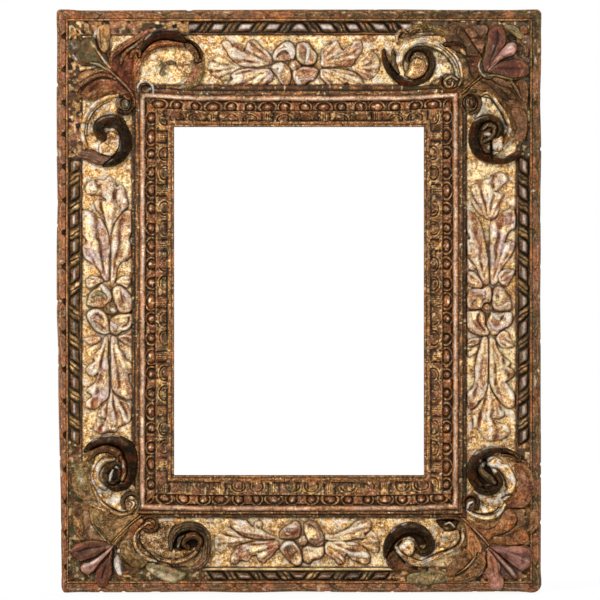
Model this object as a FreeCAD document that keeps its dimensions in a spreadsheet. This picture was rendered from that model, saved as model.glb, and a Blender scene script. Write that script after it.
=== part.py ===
"""Carved and gilded picture frame with applied corner ornaments.

Front view: X to the right, Z up, the front of the frame faces -Y. The origin is the centre of
the frame on the back plane of its back frame. A "run" is measured in the front view from the
outer edge of the frame towards the sight opening. A "depth" is measured from the back plane
towards the front.
"""
import FreeCAD, Part
import math
import os
import Sketcher

Vector = FreeCAD.Vector

# Driving dimensions in millimetres: alias, value, what it is
SIZES = [
    ("frame_width", 582, "overall width"),
    ("frame_height", 700, "overall height"),
    ("outer_width", 14, "run of the outer moulding"),
    ("outer_side", 11, "outer moulding: height of the outer arris above the back frame"),
    ("outer_round", 4, "outer moulding: run of the worn outer round"),
    ("outer_top", 16, "outer moulding: height of the flat top"),
    ("ridge_width", 2.8, "outer moulding: run of the thin inner ridge"),
    ("ridge_rise", 1.2, "outer moulding: how far the ridge stands over the flat top"),
    ("ridge_groove", 1.2, "outer moulding: width and depth of the quirk beside the ridge"),
    ("notch_pitch", 20.4, "outer moulding: spacing of the carved notches"),
    ("notch_width", 2.4, "outer moulding: width of a notch"),
    ("notch_cut", 1.8, "outer moulding: depth of a notch"),
    ("notch_slant", 3, "outer moulding: slant of a notch"),
    ("twist_width", 16, "run of the twisted ribbon moulding"),
    ("twist_side", 12, "twist: height of its sides above the back frame"),
    ("twist_crown", 4.6, "twist: rise of its rounded top"),
    ("twist_pitch", 15, "twist: spacing of its grooves"),
    ("twist_slant", 15, "twist: how far a groove runs along the rail while it crosses"),
    ("twist_groove", 3, "twist: width of a groove"),
    ("twist_cut", 3.6, "twist: depth of a groove below the crown"),
    ("frieze_width", 61, "run of the flat frieze board"),
    ("frieze_thickness", 9, "thickness of the frieze board"),
    ("fillet_width", 4, "inner moulding: run of the low fillet"),
    ("fillet_top", 14, "inner moulding: height of the low fillet"),
    ("step_width", 5, "inner moulding: run of the high fillet"),
    ("step_top", 17, "inner moulding: height of the high fillet"),
    ("torus_width", 7, "inner moulding: run of the half round"),
    ("torus_rise", 3.4, "inner moulding: rise of the half round over its sides"),
    ("torus_side", 17.4, "inner moulding: height of the sides of the half round"),
    ("bead_width", 12, "inner moulding: run of the bead bed"),
    ("bead_bed", 14.5, "inner moulding: height of the bead bed"),
    ("bead_pitch", 21.6, "inner moulding: spacing of the beads"),
    ("bead_length", 13.5, "inner moulding: length of a bead"),
    ("bead_girth", 9.4, "inner moulding: thickness of a bead"),
    ("leaf_width", 14.5, "inner moulding: run of the leaf row"),
    ("leaf_top", 17, "inner moulding: height of the leaf row at the beads"),
    ("leaf_middle", 15, "inner moulding: height of the leaf row at its middle"),
    ("leaf_foot", 7.5, "inner moulding: height of the leaf row at the sight edge"),
    ("leaf_pitch", 15.6, "inner moulding: spacing of the gouge cuts in the leaf row"),
    ("leaf_gouge", 2.6, "inner moulding: width of a gouge cut"),
    ("leaf_gouge_cut", 4.2, "inner moulding: depth of a gouge cut below the top of the row"),
    ("lip_width", 7.5, "inner moulding: run of the sight edge"),
    ("lip_thickness", 5, "inner moulding: thickness of the sight edge"),
    ("back_thickness", 24, "thickness of the back frame, which is the depth of the rebate"),
    ("rebate_width", 7, "how far the inner moulding overhangs the back frame"),
    ("lap_share", 0.5, "share of the back frame's thickness kept by a stile at the lapped corner"),
    ("peg_radius", 4, "radius of the pegs through the lapped corners"),
    ("peg_clearance", 0.05, "radial clearance of a peg or screw in its hole"),
    ("corner_reach", 184.8, "how far the corner ornaments reach along the rails"),
    ("seat_clearance", 0.2, "gap between an ornament and the carved bands it leans over"),
    ("spray_gap", 12, "gap between a corner scroll and the end of a leaf spray"),
    ("rosette_radius", 27.6, "radius of the carved rosettes"),
    ("rosette_rise", 7.5, "rise of the rosettes above the frieze board"),
    ("spray_rise", 6, "rise of the leaf sprays above the frieze board"),
    ("carving_root", 1, "depth to which the carving is rooted in the frieze board"),
    ("button_length", 36, "length of a turn button"),
    ("button_width", 12, "width of a turn button"),
    ("button_thickness", 2, "thickness of a turn button"),
    ("button_inset", 12, "distance of a button's pivot from the rebate"),
    ("button_spread", 112, "distance of a stile's button pivots from the middle of the frame"),
    ("button_gap", 0.3, "axial gap on each side of a turn button"),
    ("button_bore_clearance", 0.08, "radial clearance of a turn button on its screw"),
    ("screw_radius", 1.9, "radius of a screw's shank"),
    ("screw_length", 16, "length of a screw's shank in the wood"),
    ("screw_head_radius", 3.4, "radius of a screw's head"),
    ("screw_head_height", 1.8, "height of a screw's head"),
    ("screw_slot_width", 0.8, "width of the slot in a screw's head"),
    ("screw_slot_depth", 0.9, "depth of the slot in a screw's head"),
    ("pilot_end", 1, "free depth of a pilot hole past the end of its screw"),
    ("hanger_height", 170, "height of the hangers above the middle of the frame"),
    ("hanger_run", 72, "run of the hinge of a hanger"),
    ("strap_length", 40, "length of a hanger's strap"),
    ("strap_width", 14, "width of a hanger's strap"),
    ("strap_thickness", 1.2, "thickness of a hanger's strap"),
    ("strap_screw_near", 12, "distance of the near strap screw from the hinge"),
    ("strap_screw_far", 32, "distance of the far strap screw from the hinge"),
    ("knuckle_length", 8, "length of the rolled knuckle of a strap"),
    ("ring_wire_radius", 1.25, "radius of the wire of a hanging ring"),
    ("ring_bore_clearance", 0.08, "radial clearance of the ring in its knuckle"),
    ("ring_stand_off", 0.45, "gap between the ring's wire and the strap"),
    ("ring_half_width", 10, "half the width of a ring, to the middle of its wire"),
    ("ring_corner", 3, "radius of a ring's corners"),
    ("ring_side", 12, "distance from the hinge to the round end of a ring"),
    ("overrun", 5, "how far cutting shapes run past what they cut"),
]

# The four sides: turn about Y, what the side spans, where its outer edge lies
SIDES = {
    "top": (0, "frame_width", ("z", "frame_height", 1)),
    "right": (90, "frame_height", ("x", "frame_width", 1)),
    "bottom": (180, "frame_width", ("z", "frame_height", -1)),
    "left": (-90, "frame_height", ("x", "frame_width", -1)),
}

# The four corners: turn about Y, signs of X and Z, which scroll of the pair lies on the rail
CORNERS = {
    "top_right": (0, 1, 1, False),
    "top_left": (-90, -1, 1, True),
    "bottom_left": (180, -1, -1, False),
    "bottom_right": (90, 1, -1, True),
}

# Corner ornaments: places, widths and heights are given in equal parts of the corner reach.
# A place is (from the outer edge of the stile, from the outer edge of the rail), a strip's row
# is (place, place, full width, height above the frieze board).
PARTS_IN_REACH = 154

# C-scroll: small curl beside the inner corner, the long back, the large volute on the frieze
SCROLL_SHARES = [
    (92, 65.5, 3.5, 8.5),
    (96.5, 66.5, 4, 8.5),
    (99.5, 71.5, 4.5, 8.5),
    (96.5, 77, 5, 8.5),
    (88.5, 79, 5, 8.5),
    (82.5, 74.5, 5.5, 9),
    (80, 67, 6, 9.5),
    (82, 57, 7, 10),
    (89, 45.5, 9, 11),
    (98.5, 36, 11, 12),
    (109.5, 29.5, 12, 12.5),
    (121.5, 26.5, 12, 13),
    (133.5, 28.5, 12, 13),
    (143, 36, 11, 12.5),
    (148, 47, 10, 12),
    (146.5, 59, 9, 11.5),
    (139, 67.5, 8.5, 11),
    (128, 70, 8, 11),
    (118, 65, 7.5, 11),
    (113, 55.5, 7, 11),
    (115, 45, 6, 11),
    (122.5, 39, 5.5, 11.5),
    (130.5, 41.5, 5, 11.5),
    (134, 48, 5, 12),
]
# The same scroll where its volute has broken off: it ends in a plain cut on the frieze
BROKEN_SCROLL_ROWS = 14
SCROLL_EYE_SHARES = (126.5, 53, 8, 12)
CURL_EYE_SHARES = (91, 70.5, 3.6, 8.5)

# Acanthus leaf between the two scrolls: a rib on the diagonal, a wing and a lobe on each side
RIB_SHARES = [(76, 76, 4, 8), (72, 72, 7, 10), (66, 66, 9.5, 11.5), (59.5, 59.5, 6, 11)]
WING_SHARES = [
    (70.5, 63, 9, 10.5),
    (71, 52, 13, 11.5),
    (77, 39, 14, 12),
    (87, 26, 13, 12),
    (98, 17.5, 11, 11.5),
    (110, 13, 8, 11),
    (121, 12, 5.5, 10.5),
    (131, 13, 4.5, 10),
]
LOBE_SHARES = [(65, 57, 5, 10), (63, 47, 9, 11), (64, 34, 11, 11.5), (67, 22, 8, 11), (69, 15, 5, 10.5)]

# Palmette in the outer corner: a petal on the diagonal and one on each side
MIDDLE_PETAL_SHARES = [(57, 57, 6, 10), (50, 50, 9, 12), (40, 40, 12, 13), (31, 31, 12, 12.5),
                       (25, 25, 7, 11)]
SIDE_PETAL_SHARES = [(58, 55, 5, 10), (52, 46, 10, 12), (46, 33, 13, 12.5), (42, 20, 12, 11.5),
                     (41, 13, 7, 10.5)]

# Section of a carved strip: (share of the width, share of the height), from foot to foot
STRIP_SECTION_SHARES = [(-0.5, 0), (-0.5, 0.76), (-0.3, 1), (0, 0.88), (0.3, 1), (0.5, 0.76),
                        (0.5, 0)]

# Carving of a frieze board. Places along the rail are shares of the length between the rosette
# and the end of the spray, places across are shares of the frieze width from its outer edge,
# widths are shares of the frieze width and heights are shares of the spray rise.
SPRAY_SHARES = [
    [(0, 0.45, 0.16, 0.7), (0.2, 0.36, 0.26, 1), (0.45, 0.24, 0.26, 1), (0.7, 0.13, 0.1, 0.6)],
    [(0, 0.55, 0.16, 0.7), (0.2, 0.64, 0.26, 1), (0.45, 0.76, 0.26, 1), (0.7, 0.87, 0.1, 0.6)],
    [(0.22, 0.5, 0.12, 0.7), (0.42, 0.5, 0.3, 1), (0.64, 0.46, 0.34, 1), (0.84, 0.5, 0.24, 0.8),
     (1, 0.56, 0.08, 0.5)],
]
# Rosette petals sweep round the boss: (share of the radius, turn in degrees, share of the
# radius as width, share of the rise)
PETAL_SHARES = [(0.12, 0, 0.34, 0.8), (0.4, 14, 0.56, 1), (0.7, 34, 0.6, 0.95), (0.93, 56, 0.3, 0.5)]
PETALS = 4
BOSS_RADIUS_SHARE = 0.2

# Two points nearer than this are one point, and a volume must change by more than this
SAME_PLACE = 1e-6

doc = FreeCAD.newDocument("carved_frame")
sheet = doc.addObject("Spreadsheet::Sheet", "sizes")
for row, (alias, value, note) in enumerate(SIZES, start=1):
    sheet.set(f"A{row}", alias)
    sheet.set(f"B{row}", str(value))
    sheet.setAlias(f"B{row}", alias)
    sheet.set(f"C{row}", note)
doc.recompute()

subparts = []


def add_up(*names):
    """Expression for the sum of named sizes."""
    return " + ".join(f"sizes.{name}" for name in names)


def length(expression):
    """Value of an expression of named sizes, in millimetres."""
    return float(sheet.evalExpression(expression))


# Runs at which the bands begin, from the outer edge inwards
TWIST_RUN = add_up("outer_width")
FRIEZE_RUN = add_up("outer_width", "twist_width")
INNER_RUN = add_up("outer_width", "twist_width", "frieze_width")
STEP_RUN = f"{INNER_RUN} + sizes.fillet_width"
TORUS_RUN = f"{STEP_RUN} + sizes.step_width"
BEAD_RUN = f"{TORUS_RUN} + sizes.torus_width"
LEAF_RUN = f"{BEAD_RUN} + sizes.bead_width"
LIP_RUN = f"{LEAF_RUN} + sizes.leaf_width"
SIGHT_RUN = f"{LIP_RUN} + sizes.lip_width"
BACK_WIDTH = f"{SIGHT_RUN} - sizes.rebate_width"
FRIEZE_TOP = add_up("back_thickness", "frieze_thickness")
TWIST_TOP = add_up("back_thickness", "twist_side", "twist_crown")


def top_of(height):
    """Depth of a height above the back frame."""
    return f"sizes.back_thickness + ({height})"


def origin_feature(body, role):
    """A plane or axis of a body's own origin."""
    return next(feature for feature in body.Origin.OriginFeatures if feature.Role == role)


def new_sketch(body, name, role, offset="0"):
    """Sketch on a plane of the body's origin, moved along the plane's normal by an offset."""
    sketch = body.newObject("Sketcher::SketchObject", name)
    sketch.AttachmentSupport = (origin_feature(body, role), "")
    sketch.MapMode = "FlatFace"
    sketch.setExpression("AttachmentOffset.Base.z", offset)
    return sketch


def pin(sketch, edge, point, across, up):
    """Hold a point of an edge at two expressions, measured from the sketch's origin."""
    for kind, expression in (("DistanceX", across), ("DistanceY", up)):
        value = length(expression)
        if value < 0:
            index = sketch.addConstraint(Sketcher.Constraint(kind, edge, point, -1, 1, -value))
            sketch.setExpression(f"Constraints[{index}]", f"-({expression})")
        else:
            index = sketch.addConstraint(Sketcher.Constraint(kind, -1, 1, edge, point, value))
            sketch.setExpression(f"Constraints[{index}]", expression)


def draw_outline(sketch, corners, bulges=None):
    """Closed outline through corners given as pairs of expressions.

    A bulge is the rise, towards -X of the sketch, of the arc that leaves the corner of that
    index. Its two ends have the same first coordinate.
    """
    bulges = bulges or {}
    places = [Vector(length(across), length(up), 0) for across, up in corners]
    ends = []
    for index, start in enumerate(places):
        following = (index + 1) % len(places)
        stop = places[following]
        if index in bulges:
            rise = Vector(length(bulges[index]), 0, 0)
            arc = Part.Arc(start, (start + stop) / 2 - rise, stop)
            edge = sketch.addGeometry(arc, False)
            forward = sketch.Geometry[edge].StartPoint.isEqual(start, SAME_PLACE)
        else:
            edge = sketch.addGeometry(Part.LineSegment(start, stop), False)
            forward = True
        ends.append((edge, 1, 2) if forward else (edge, 2, 1))
    for index, (edge, first, last) in enumerate(ends):
        next_edge, next_first, _ = ends[(index + 1) % len(ends)]
        sketch.addConstraint(Sketcher.Constraint("Coincident", edge, last, next_edge, next_first))
        pin(sketch, edge, first, *corners[index])
    for index, bulge in bulges.items():
        across, up = corners[index]
        chord = f"(({corners[(index + 1) % len(corners)][1]}) - ({up})) / 2"
        radius = f"(({chord})^2 + ({bulge})^2) / (2 * ({bulge}))"
        centre = f"({across}) - ({bulge}) + {radius}"
        value = -length(centre)
        edge = ends[index][0]
        number = sketch.addConstraint(Sketcher.Constraint("DistanceX", edge, 3, -1, 1, value))
        sketch.setExpression(f"Constraints[{number}]", f"-({centre})")


def pad_profile(body, name, corners, bulges, span):
    """Profile of a rail, given as (run, depth) expressions, drawn out along the whole span."""
    sketch = new_sketch(body, name + "Profile", "YZ_Plane")
    draw_outline(sketch, [(f"-({depth})", f"-({run})") for run, depth in corners], bulges)
    pad = body.newObject("PartDesign::Pad", name + "Length")
    pad.Profile = sketch
    pad.SideType = "Symmetric"
    pad.setExpression("Length", f"sizes.{span}")
    body.Tip = pad
    doc.recompute()
    return pad


def pocket(body, sketch, name, cut=None, reverse=False):
    """Pocket of a sketch to a depth, or through everything both ways, that must remove wood."""
    before = body.Shape.Volume
    feature = body.newObject("PartDesign::Pocket", name)
    feature.Profile = sketch
    if cut is None:
        feature.Type = "ThroughAll"
        feature.SideType = "Symmetric"
    else:
        feature.Type = "Length"
        feature.Reversed = reverse
        feature.setExpression("Length", cut)
    body.Tip = feature
    doc.recompute()
    if not feature.Shape.Volume < before - SAME_PLACE:
        raise RuntimeError(f"{body.Label}: {name} removes nothing")
    return feature


def pattern_row(body, feature, name, pitch, count, toward):
    """Repeat a feature along the rail, away from the middle."""
    row = body.newObject("PartDesign::LinearPattern", name)
    row.Originals = [feature]
    row.Direction = (origin_feature(body, "X_Axis"), [""])
    row.Reversed = toward < 0
    row.Mode = "Spacing"
    row.setExpression("Offset", pitch)
    row.setExpression("Occurrences", count)
    body.Tip = row
    doc.recompute()
    return row


def cut_mitres(body, span):
    """Cut both ends of a rail at 45 degrees, from the outer corners inwards."""
    for name, sign in (("Right", "1"), ("Left", "-1")):
        end = f"sizes.{span} / 2 + sizes.overrun"
        inner = f"sizes.{span} / 2 - ({SIGHT_RUN}) - sizes.overrun"
        low = f"-({SIGHT_RUN}) - sizes.overrun"
        corners = [(end, "sizes.overrun"), (inner, low), (end, low)]
        sketch = new_sketch(body, f"Mitre{name}", "XZ_Plane")
        draw_outline(sketch, [(f"{sign} * ({across})", up) for across, up in corners])
        pocket(body, sketch, f"MitreCut{name}")


def groove_rows(body, name, span, outer, inner, width, slant, level, cut, pitch):
    """Rows of slanted grooves, mirrored about the middle of the rail.

    The grooves run from one run to another, are cut down from a level and lean away from the
    middle as they go inwards.
    """
    for side, toward in (("Right", 1), ("Left", -1)):
        start = f"({pitch}) / 2 - ({slant}) / 2"
        places = [(start, outer), (f"{start} + ({width})", outer),
                  (f"{start} + ({width}) + ({slant})", inner), (f"{start} + ({slant})", inner)]
        sketch = new_sketch(body, f"{name}{side}", "XZ_Plane", level)
        draw_outline(sketch, [(f"{toward} * ({along})", f"-({run})") for along, run in places])
        first = pocket(body, sketch, f"{name}Cut{side}", cut)
        room = f"sizes.{span} / 2 - ({inner}) - ({pitch}) / 2 - ({slant}) / 2 - ({width})"
        pattern_row(body, first, f"{name}Row{side}", pitch, f"floor(({room}) / ({pitch})) + 1",
                    toward)


def rail_body(kind, side):
    """Empty body of one rail, in its own frame: X along the rail, Z = 0 at its outer edge."""
    body = doc.addObject("PartDesign::Body", f"{kind}_{side}")
    body.Label = f"{kind}_{side}"
    return body


def place_on_side(feature, side):
    """Turn a rail to its side of the frame and move it out to the edge."""
    turn, _, (axis, across, sign) = SIDES[side]
    feature.Placement = FreeCAD.Placement(Vector(), FreeCAD.Rotation(Vector(0, 1, 0), turn))
    feature.setExpression(f"Placement.Base.{axis}", f"{sign} * sizes.{across} / 2")
    subparts.append(feature)


def outer_moulding(side):
    """Outer band: worn round, notched flat and a thin ridge."""
    span = SIDES[side][1]
    body = rail_body("outer_moulding", side)
    ridge = "sizes.outer_width - sizes.ridge_width"
    quirk = f"{ridge} - sizes.ridge_groove"
    corners = [
        ("0", "sizes.back_thickness"),
        ("0", top_of("sizes.outer_side")),
        ("sizes.outer_round / 3", top_of("(sizes.outer_side + 2 * sizes.outer_top) / 3")),
        ("sizes.outer_round", top_of("sizes.outer_top")),
        (f"{quirk} - sizes.ridge_groove", top_of("sizes.outer_top")),
        (quirk, top_of("sizes.outer_top - sizes.ridge_groove")),
        (ridge, top_of("sizes.outer_top + sizes.ridge_rise")),
        ("sizes.outer_width", top_of("sizes.outer_top + sizes.ridge_rise")),
        ("sizes.outer_width", "sizes.back_thickness"),
    ]
    pad_profile(body, "Band", corners, {}, span)
    cut_mitres(body, span)
    groove_rows(body, "Notch", span, "sizes.outer_round", f"{quirk} - sizes.ridge_groove",
                "sizes.notch_width", "sizes.notch_slant", top_of("sizes.outer_top"),
                "sizes.notch_cut", "sizes.notch_pitch")
    place_on_side(body, side)


def twist_moulding(side):
    """Twisted ribbon: a half round with slanting grooves that turn back at the middle."""
    span = SIDES[side][1]
    body = rail_body("twist_moulding", side)
    corners = [
        (TWIST_RUN, "sizes.back_thickness"),
        (TWIST_RUN, top_of("sizes.twist_side")),
        (FRIEZE_RUN, top_of("sizes.twist_side")),
        (FRIEZE_RUN, "sizes.back_thickness"),
    ]
    pad_profile(body, "HalfRound", corners, {1: "sizes.twist_crown"}, span)
    cut_mitres(body, span)
    groove_rows(body, "Groove", span, TWIST_RUN, FRIEZE_RUN, "sizes.twist_groove",
                "sizes.twist_slant", TWIST_TOP, "sizes.twist_cut", "sizes.twist_pitch")
    place_on_side(body, side)


def inner_moulding(side):
    """Inner moulding: two fillets, half round, beads, leaf row and the sight edge."""
    span = SIDES[side][1]
    body = rail_body("inner_moulding", side)
    corners = [
        (INNER_RUN, "sizes.back_thickness"),
        (INNER_RUN, top_of("sizes.fillet_top")),
        (STEP_RUN, top_of("sizes.fillet_top")),
        (STEP_RUN, top_of("sizes.step_top")),
        (TORUS_RUN, top_of("sizes.step_top")),
        (TORUS_RUN, top_of("sizes.torus_side")),
        (BEAD_RUN, top_of("sizes.torus_side")),
        (BEAD_RUN, top_of("sizes.bead_bed")),
        (LEAF_RUN, top_of("sizes.bead_bed")),
        (LEAF_RUN, top_of("sizes.leaf_top")),
        (f"{LEAF_RUN} + sizes.leaf_width / 2", top_of("sizes.leaf_middle")),
        (LIP_RUN, top_of("sizes.leaf_foot")),
        (LIP_RUN, top_of("sizes.lip_thickness")),
        (SIGHT_RUN, top_of("sizes.lip_thickness")),
        (SIGHT_RUN, "sizes.back_thickness"),
    ]
    pad_profile(body, "Moulding", corners, {5: "sizes.torus_rise"}, span)
    cut_mitres(body, span)
    groove_rows(body, "Gouge", span, f"{LEAF_RUN} + sizes.leaf_gouge", LIP_RUN,
                "sizes.leaf_gouge", "0", top_of("sizes.leaf_top"), "sizes.leaf_gouge_cut",
                "sizes.leaf_pitch")
    bead_centre = f"{BEAD_RUN} + sizes.bead_width / 2"
    for name, toward in (("Right", 1), ("Left", -1)):
        bead = body.newObject("PartDesign::AdditiveEllipsoid", f"Bead{name}")
        bead.AttachmentSupport = (origin_feature(body, "XZ_Plane"), "")
        bead.MapMode = "FlatFace"
        bead.setExpression("AttachmentOffset.Base.x", f"{toward} * sizes.bead_pitch / 2")
        bead.setExpression("AttachmentOffset.Base.y", f"-({bead_centre})")
        bead.setExpression("AttachmentOffset.Base.z", top_of("sizes.bead_bed"))
        bead.setExpression("Radius1", "sizes.bead_girth / 2")
        bead.setExpression("Radius2", "sizes.bead_length / 2")
        bead.setExpression("Radius3", "sizes.bead_girth / 2")
        body.Tip = bead
        room = f"sizes.{span} / 2 - ({LEAF_RUN}) - sizes.bead_pitch / 2 - sizes.bead_length / 2"
        pattern_row(body, bead, f"BeadRow{name}", "sizes.bead_pitch",
                    f"floor(({room}) / sizes.bead_pitch) + 1", toward)
    place_on_side(body, side)


def strip(rows, point, feet):
    """Carved strip along a line of rows (across, up, full width, height) in millimetres.

    The point function turns a front-view place and a depth into a place in space, and feet is
    the depth of the strip's base. Each section stands square to the line.
    """
    sections = []
    for index, (across, up, width, height) in enumerate(rows):
        before = rows[max(index - 1, 0)]
        after = rows[min(index + 1, len(rows) - 1)]
        run = math.hypot(after[0] - before[0], after[1] - before[1])
        side = (-(after[1] - before[1]) / run, (after[0] - before[0]) / run)
        corners = [point(across + side[0] * width * wide, up + side[1] * width * wide,
                         feet + height * high)
                   for wide, high in STRIP_SECTION_SHARES]
        sections.append(Part.makePolygon(corners + corners[:1]))
    solid = Part.makeLoft(sections, True, True)
    if solid.Volume < 0:
        solid.reverse()
    return solid


def knob(place, radius, point, feet, height):
    """Round button of carving with a chamfered top, standing on its feet towards the front."""
    shoulder = radius / 3
    base = point(place[0], place[1], feet)
    towards = Vector(0, -1, 0)
    stem = Part.makeCylinder(radius, height - shoulder, base, towards)
    crown = Part.makeCone(radius, radius - shoulder, shoulder,
                          base + towards * (height - shoulder), towards)
    return stem.fuse(crown)


def carved(name, shape):
    """Document object that holds one carved shape."""
    feature = doc.addObject("Part::Feature", name)
    feature.Shape = shape
    return feature


def rail_point(along, run, depth):
    """A place on a rail, in the rail's own frame."""
    return Vector(along, -depth, -run)


def corner_point(across, up, depth):
    """A place in the top right corner's own frame, from its two outer edges."""
    return Vector(-across, -depth, -up)


def spray_rows(shares, end, toward):
    """Rows of a leaf of the spray, from the rosette towards the end of the spray."""
    start = length("sizes.rosette_radius")
    wide = length("sizes.frieze_width")
    rise = length("sizes.spray_rise") + length("sizes.carving_root")
    outer = length(FRIEZE_RUN)
    return [(toward * (start + along * (end - start)), outer + across * wide, width * wide,
             height * rise)
            for along, across, width, height in shares]


def petal_rows(start_turn):
    """Rows of one rosette petal, which sweeps round the boss as it goes outwards."""
    radius = length("sizes.rosette_radius")
    rise = length("sizes.rosette_rise") + length("sizes.carving_root")
    middle = length(FRIEZE_RUN) + length("sizes.frieze_width") / 2
    rows = []
    for out, turn, width, height in PETAL_SHARES:
        angle = math.radians(start_turn + turn)
        rows.append((out * radius * math.cos(angle), middle + out * radius * math.sin(angle),
                     width * radius, height * rise))
    return rows


def frieze_board(side):
    """Flat frieze board with a rosette and two leaf sprays carved out of it."""
    span = SIDES[side][1]
    board = doc.addObject("PartDesign::Body", f"board_{side}")
    corners = [(FRIEZE_RUN, "sizes.back_thickness"), (FRIEZE_RUN, FRIEZE_TOP),
               (INNER_RUN, FRIEZE_TOP), (INNER_RUN, "sizes.back_thickness")]
    pad_profile(board, "Board", corners, {}, span)
    cut_mitres(board, span)

    feet = length(f"{FRIEZE_TOP} - sizes.carving_root")
    end = length(f"sizes.{span} / 2 - sizes.corner_reach - sizes.spray_gap")
    leaves = [carved(f"leaf_{side}_", strip(spray_rows(leaf, end, toward), rail_point, feet))
              for leaf in SPRAY_SHARES for toward in (1, -1)]
    petals = [carved(f"petal_{side}_", strip(petal_rows(number * 360 / PETALS), rail_point, feet))
              for number in range(PETALS)]
    middle = (0, length(f"{FRIEZE_RUN} + sizes.frieze_width / 2"))
    boss_radius = length("sizes.rosette_radius") * BOSS_RADIUS_SHARE
    boss_height = length("sizes.rosette_rise + sizes.carving_root")
    boss = carved(f"boss_{side}", knob(middle, boss_radius, rail_point, feet, boss_height))

    whole = doc.addObject("Part::MultiFuse", f"frieze_board_{side}")
    whole.Label = f"frieze_board_{side}"
    whole.Shapes = [board] + leaves + petals + [boss]
    doc.recompute()
    place_on_side(whole, side)


def bed_box(name, across, up, high):
    """Box under the ornaments: ranges from the two outer edges, and how far it stands forward."""
    box = doc.addObject("Part::Box", name)
    for axis, size, (start, stop) in (("x", "Length", across), ("z", "Height", up)):
        box.setExpression(f"Placement.Base.{axis}", f"-({stop})")
        box.setExpression(size, f"({stop}) - ({start})")
    box.setExpression("Placement.Base.y", f"-({high})")
    box.setExpression("Width", f"{high} + sizes.overrun")
    return box


def corner_bed():
    """All that lies under the ornaments, but for the frieze, with the seat clearance added."""
    outside = "-sizes.overrun"
    far = "sizes.corner_reach + sizes.overrun"
    ridge = top_of("sizes.outer_top + sizes.ridge_rise")
    bands = f"max({TWIST_TOP}; {ridge}) + sizes.seat_clearance"
    bands_end = f"{FRIEZE_RUN} + sizes.seat_clearance"
    steps = f"{top_of('sizes.step_top')} + sizes.seat_clearance"
    steps_start = f"{INNER_RUN} - sizes.seat_clearance"
    torus = f"{top_of('sizes.torus_side + sizes.torus_rise')} + sizes.seat_clearance"
    torus_start = f"{TORUS_RUN} - sizes.seat_clearance"
    bed = doc.addObject("Part::MultiFuse", "corner_bed")
    bed.Shapes = [
        bed_box("bed_stile", (outside, bands_end), (outside, far), bands),
        bed_box("bed_rail", (outside, far), (outside, bands_end), bands),
        bed_box("bed_steps", (steps_start, far), (steps_start, far), steps),
        bed_box("bed_torus", (torus_start, far), (torus_start, far), torus),
    ]
    doc.recompute()
    return bed


def in_reach(rows, swap=False):
    """Rows of a strip in millimetres, mirrored about the mitre if swapped."""
    part_size = length("sizes.corner_reach") / PARTS_IN_REACH
    sized = [tuple(part_size * value for value in row) for row in rows]
    if swap:
        sized = [(up, across, width, height) for across, up, width, height in sized]
    return sized


def corner_strip(name, rows, swap=False):
    """Carved strip of a corner ornament."""
    return carved(name, strip(in_reach(rows, swap), corner_point, length(FRIEZE_TOP)))


def corner_knob(name, row, swap):
    """Round eye of a scroll."""
    across, up, radius, height = in_reach([row], swap)[0]
    return carved(name, knob((across, up), radius, corner_point, length(FRIEZE_TOP), height))


def ornament(label, corner, shapes, bed):
    """Join the strips of an ornament, hollow it over its bed and move it to its corner."""
    raw = doc.addObject("Part::MultiFuse", f"{label}_blank")
    raw.Shapes = shapes
    piece = doc.addObject("Part::Cut", label)
    piece.Label = label
    piece.Base = raw
    piece.Tool = bed
    turn, right, up, _ = CORNERS[corner]
    piece.Placement = FreeCAD.Placement(Vector(), FreeCAD.Rotation(Vector(0, 1, 0), turn))
    piece.setExpression("Placement.Base.x", f"{right} * sizes.frame_width / 2")
    piece.setExpression("Placement.Base.z", f"{up} * sizes.frame_height / 2")
    subparts.append(piece)


def scroll(lies_on, corner, bed):
    """C-scroll on the rail or the stile of a corner. The one at the top left is broken."""
    swap = CORNERS[corner][3] == (lies_on == "rail")
    label = f"{lies_on}_scroll_{corner}"
    curl = corner_knob(f"{label}_curl", CURL_EYE_SHARES, swap)
    if (lies_on, corner) == ("rail", "top_left"):
        back = corner_strip(f"{label}_back", SCROLL_SHARES[:BROKEN_SCROLL_ROWS], swap)
        ornament(label, corner, [back, curl], bed)
    else:
        back = corner_strip(f"{label}_back", SCROLL_SHARES, swap)
        eye = corner_knob(f"{label}_eye", SCROLL_EYE_SHARES, swap)
        ornament(label, corner, [back, curl, eye], bed)


def corner_leaf(corner, bed):
    """Acanthus leaf between the two scrolls of a corner."""
    label = f"corner_leaf_{corner}"
    shapes = [corner_strip(f"{label}_rib", RIB_SHARES)]
    for name, rows in (("wing", WING_SHARES), ("lobe", LOBE_SHARES)):
        shapes += [corner_strip(f"{label}_{name}", rows, swap) for swap in (False, True)]
    ornament(label, corner, shapes, bed)


def palmette(corner, bed):
    """Palmette of three petals in the outer corner."""
    label = f"palmette_{corner}"
    shapes = [corner_strip(f"{label}_middle", MIDDLE_PETAL_SHARES)]
    shapes += [corner_strip(f"{label}_side", SIDE_PETAL_SHARES, swap) for swap in (False, True)]
    ornament(label, corner, shapes, bed)


def draw_circle(sketch, across, up, radius):
    """Circle held by its centre and its radius."""
    middle = Vector(length(across), length(up), 0)
    edge = sketch.addGeometry(Part.Circle(middle, Vector(0, 0, 1), length(radius)), False)
    pin(sketch, edge, 3, across, up)
    number = sketch.addConstraint(Sketcher.Constraint("Radius", edge, length(radius)))
    sketch.setExpression(f"Constraints[{number}]", radius)


# Depth at which the stiles' laps end and the rails' laps begin
LAP_DEPTH = "sizes.back_thickness * sizes.lap_share"
# Pegs stand on the diagonal of a lapped corner, at these shares of its width
PEG_SHARES = (0.3, 0.7)
HOLE_RADIUS = "sizes.screw_radius + sizes.peg_clearance"
BUTTON_RUN = f"{BACK_WIDTH} - sizes.button_inset"
BUTTON_SEAT = "sizes.button_thickness + 2 * sizes.button_gap"


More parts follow.
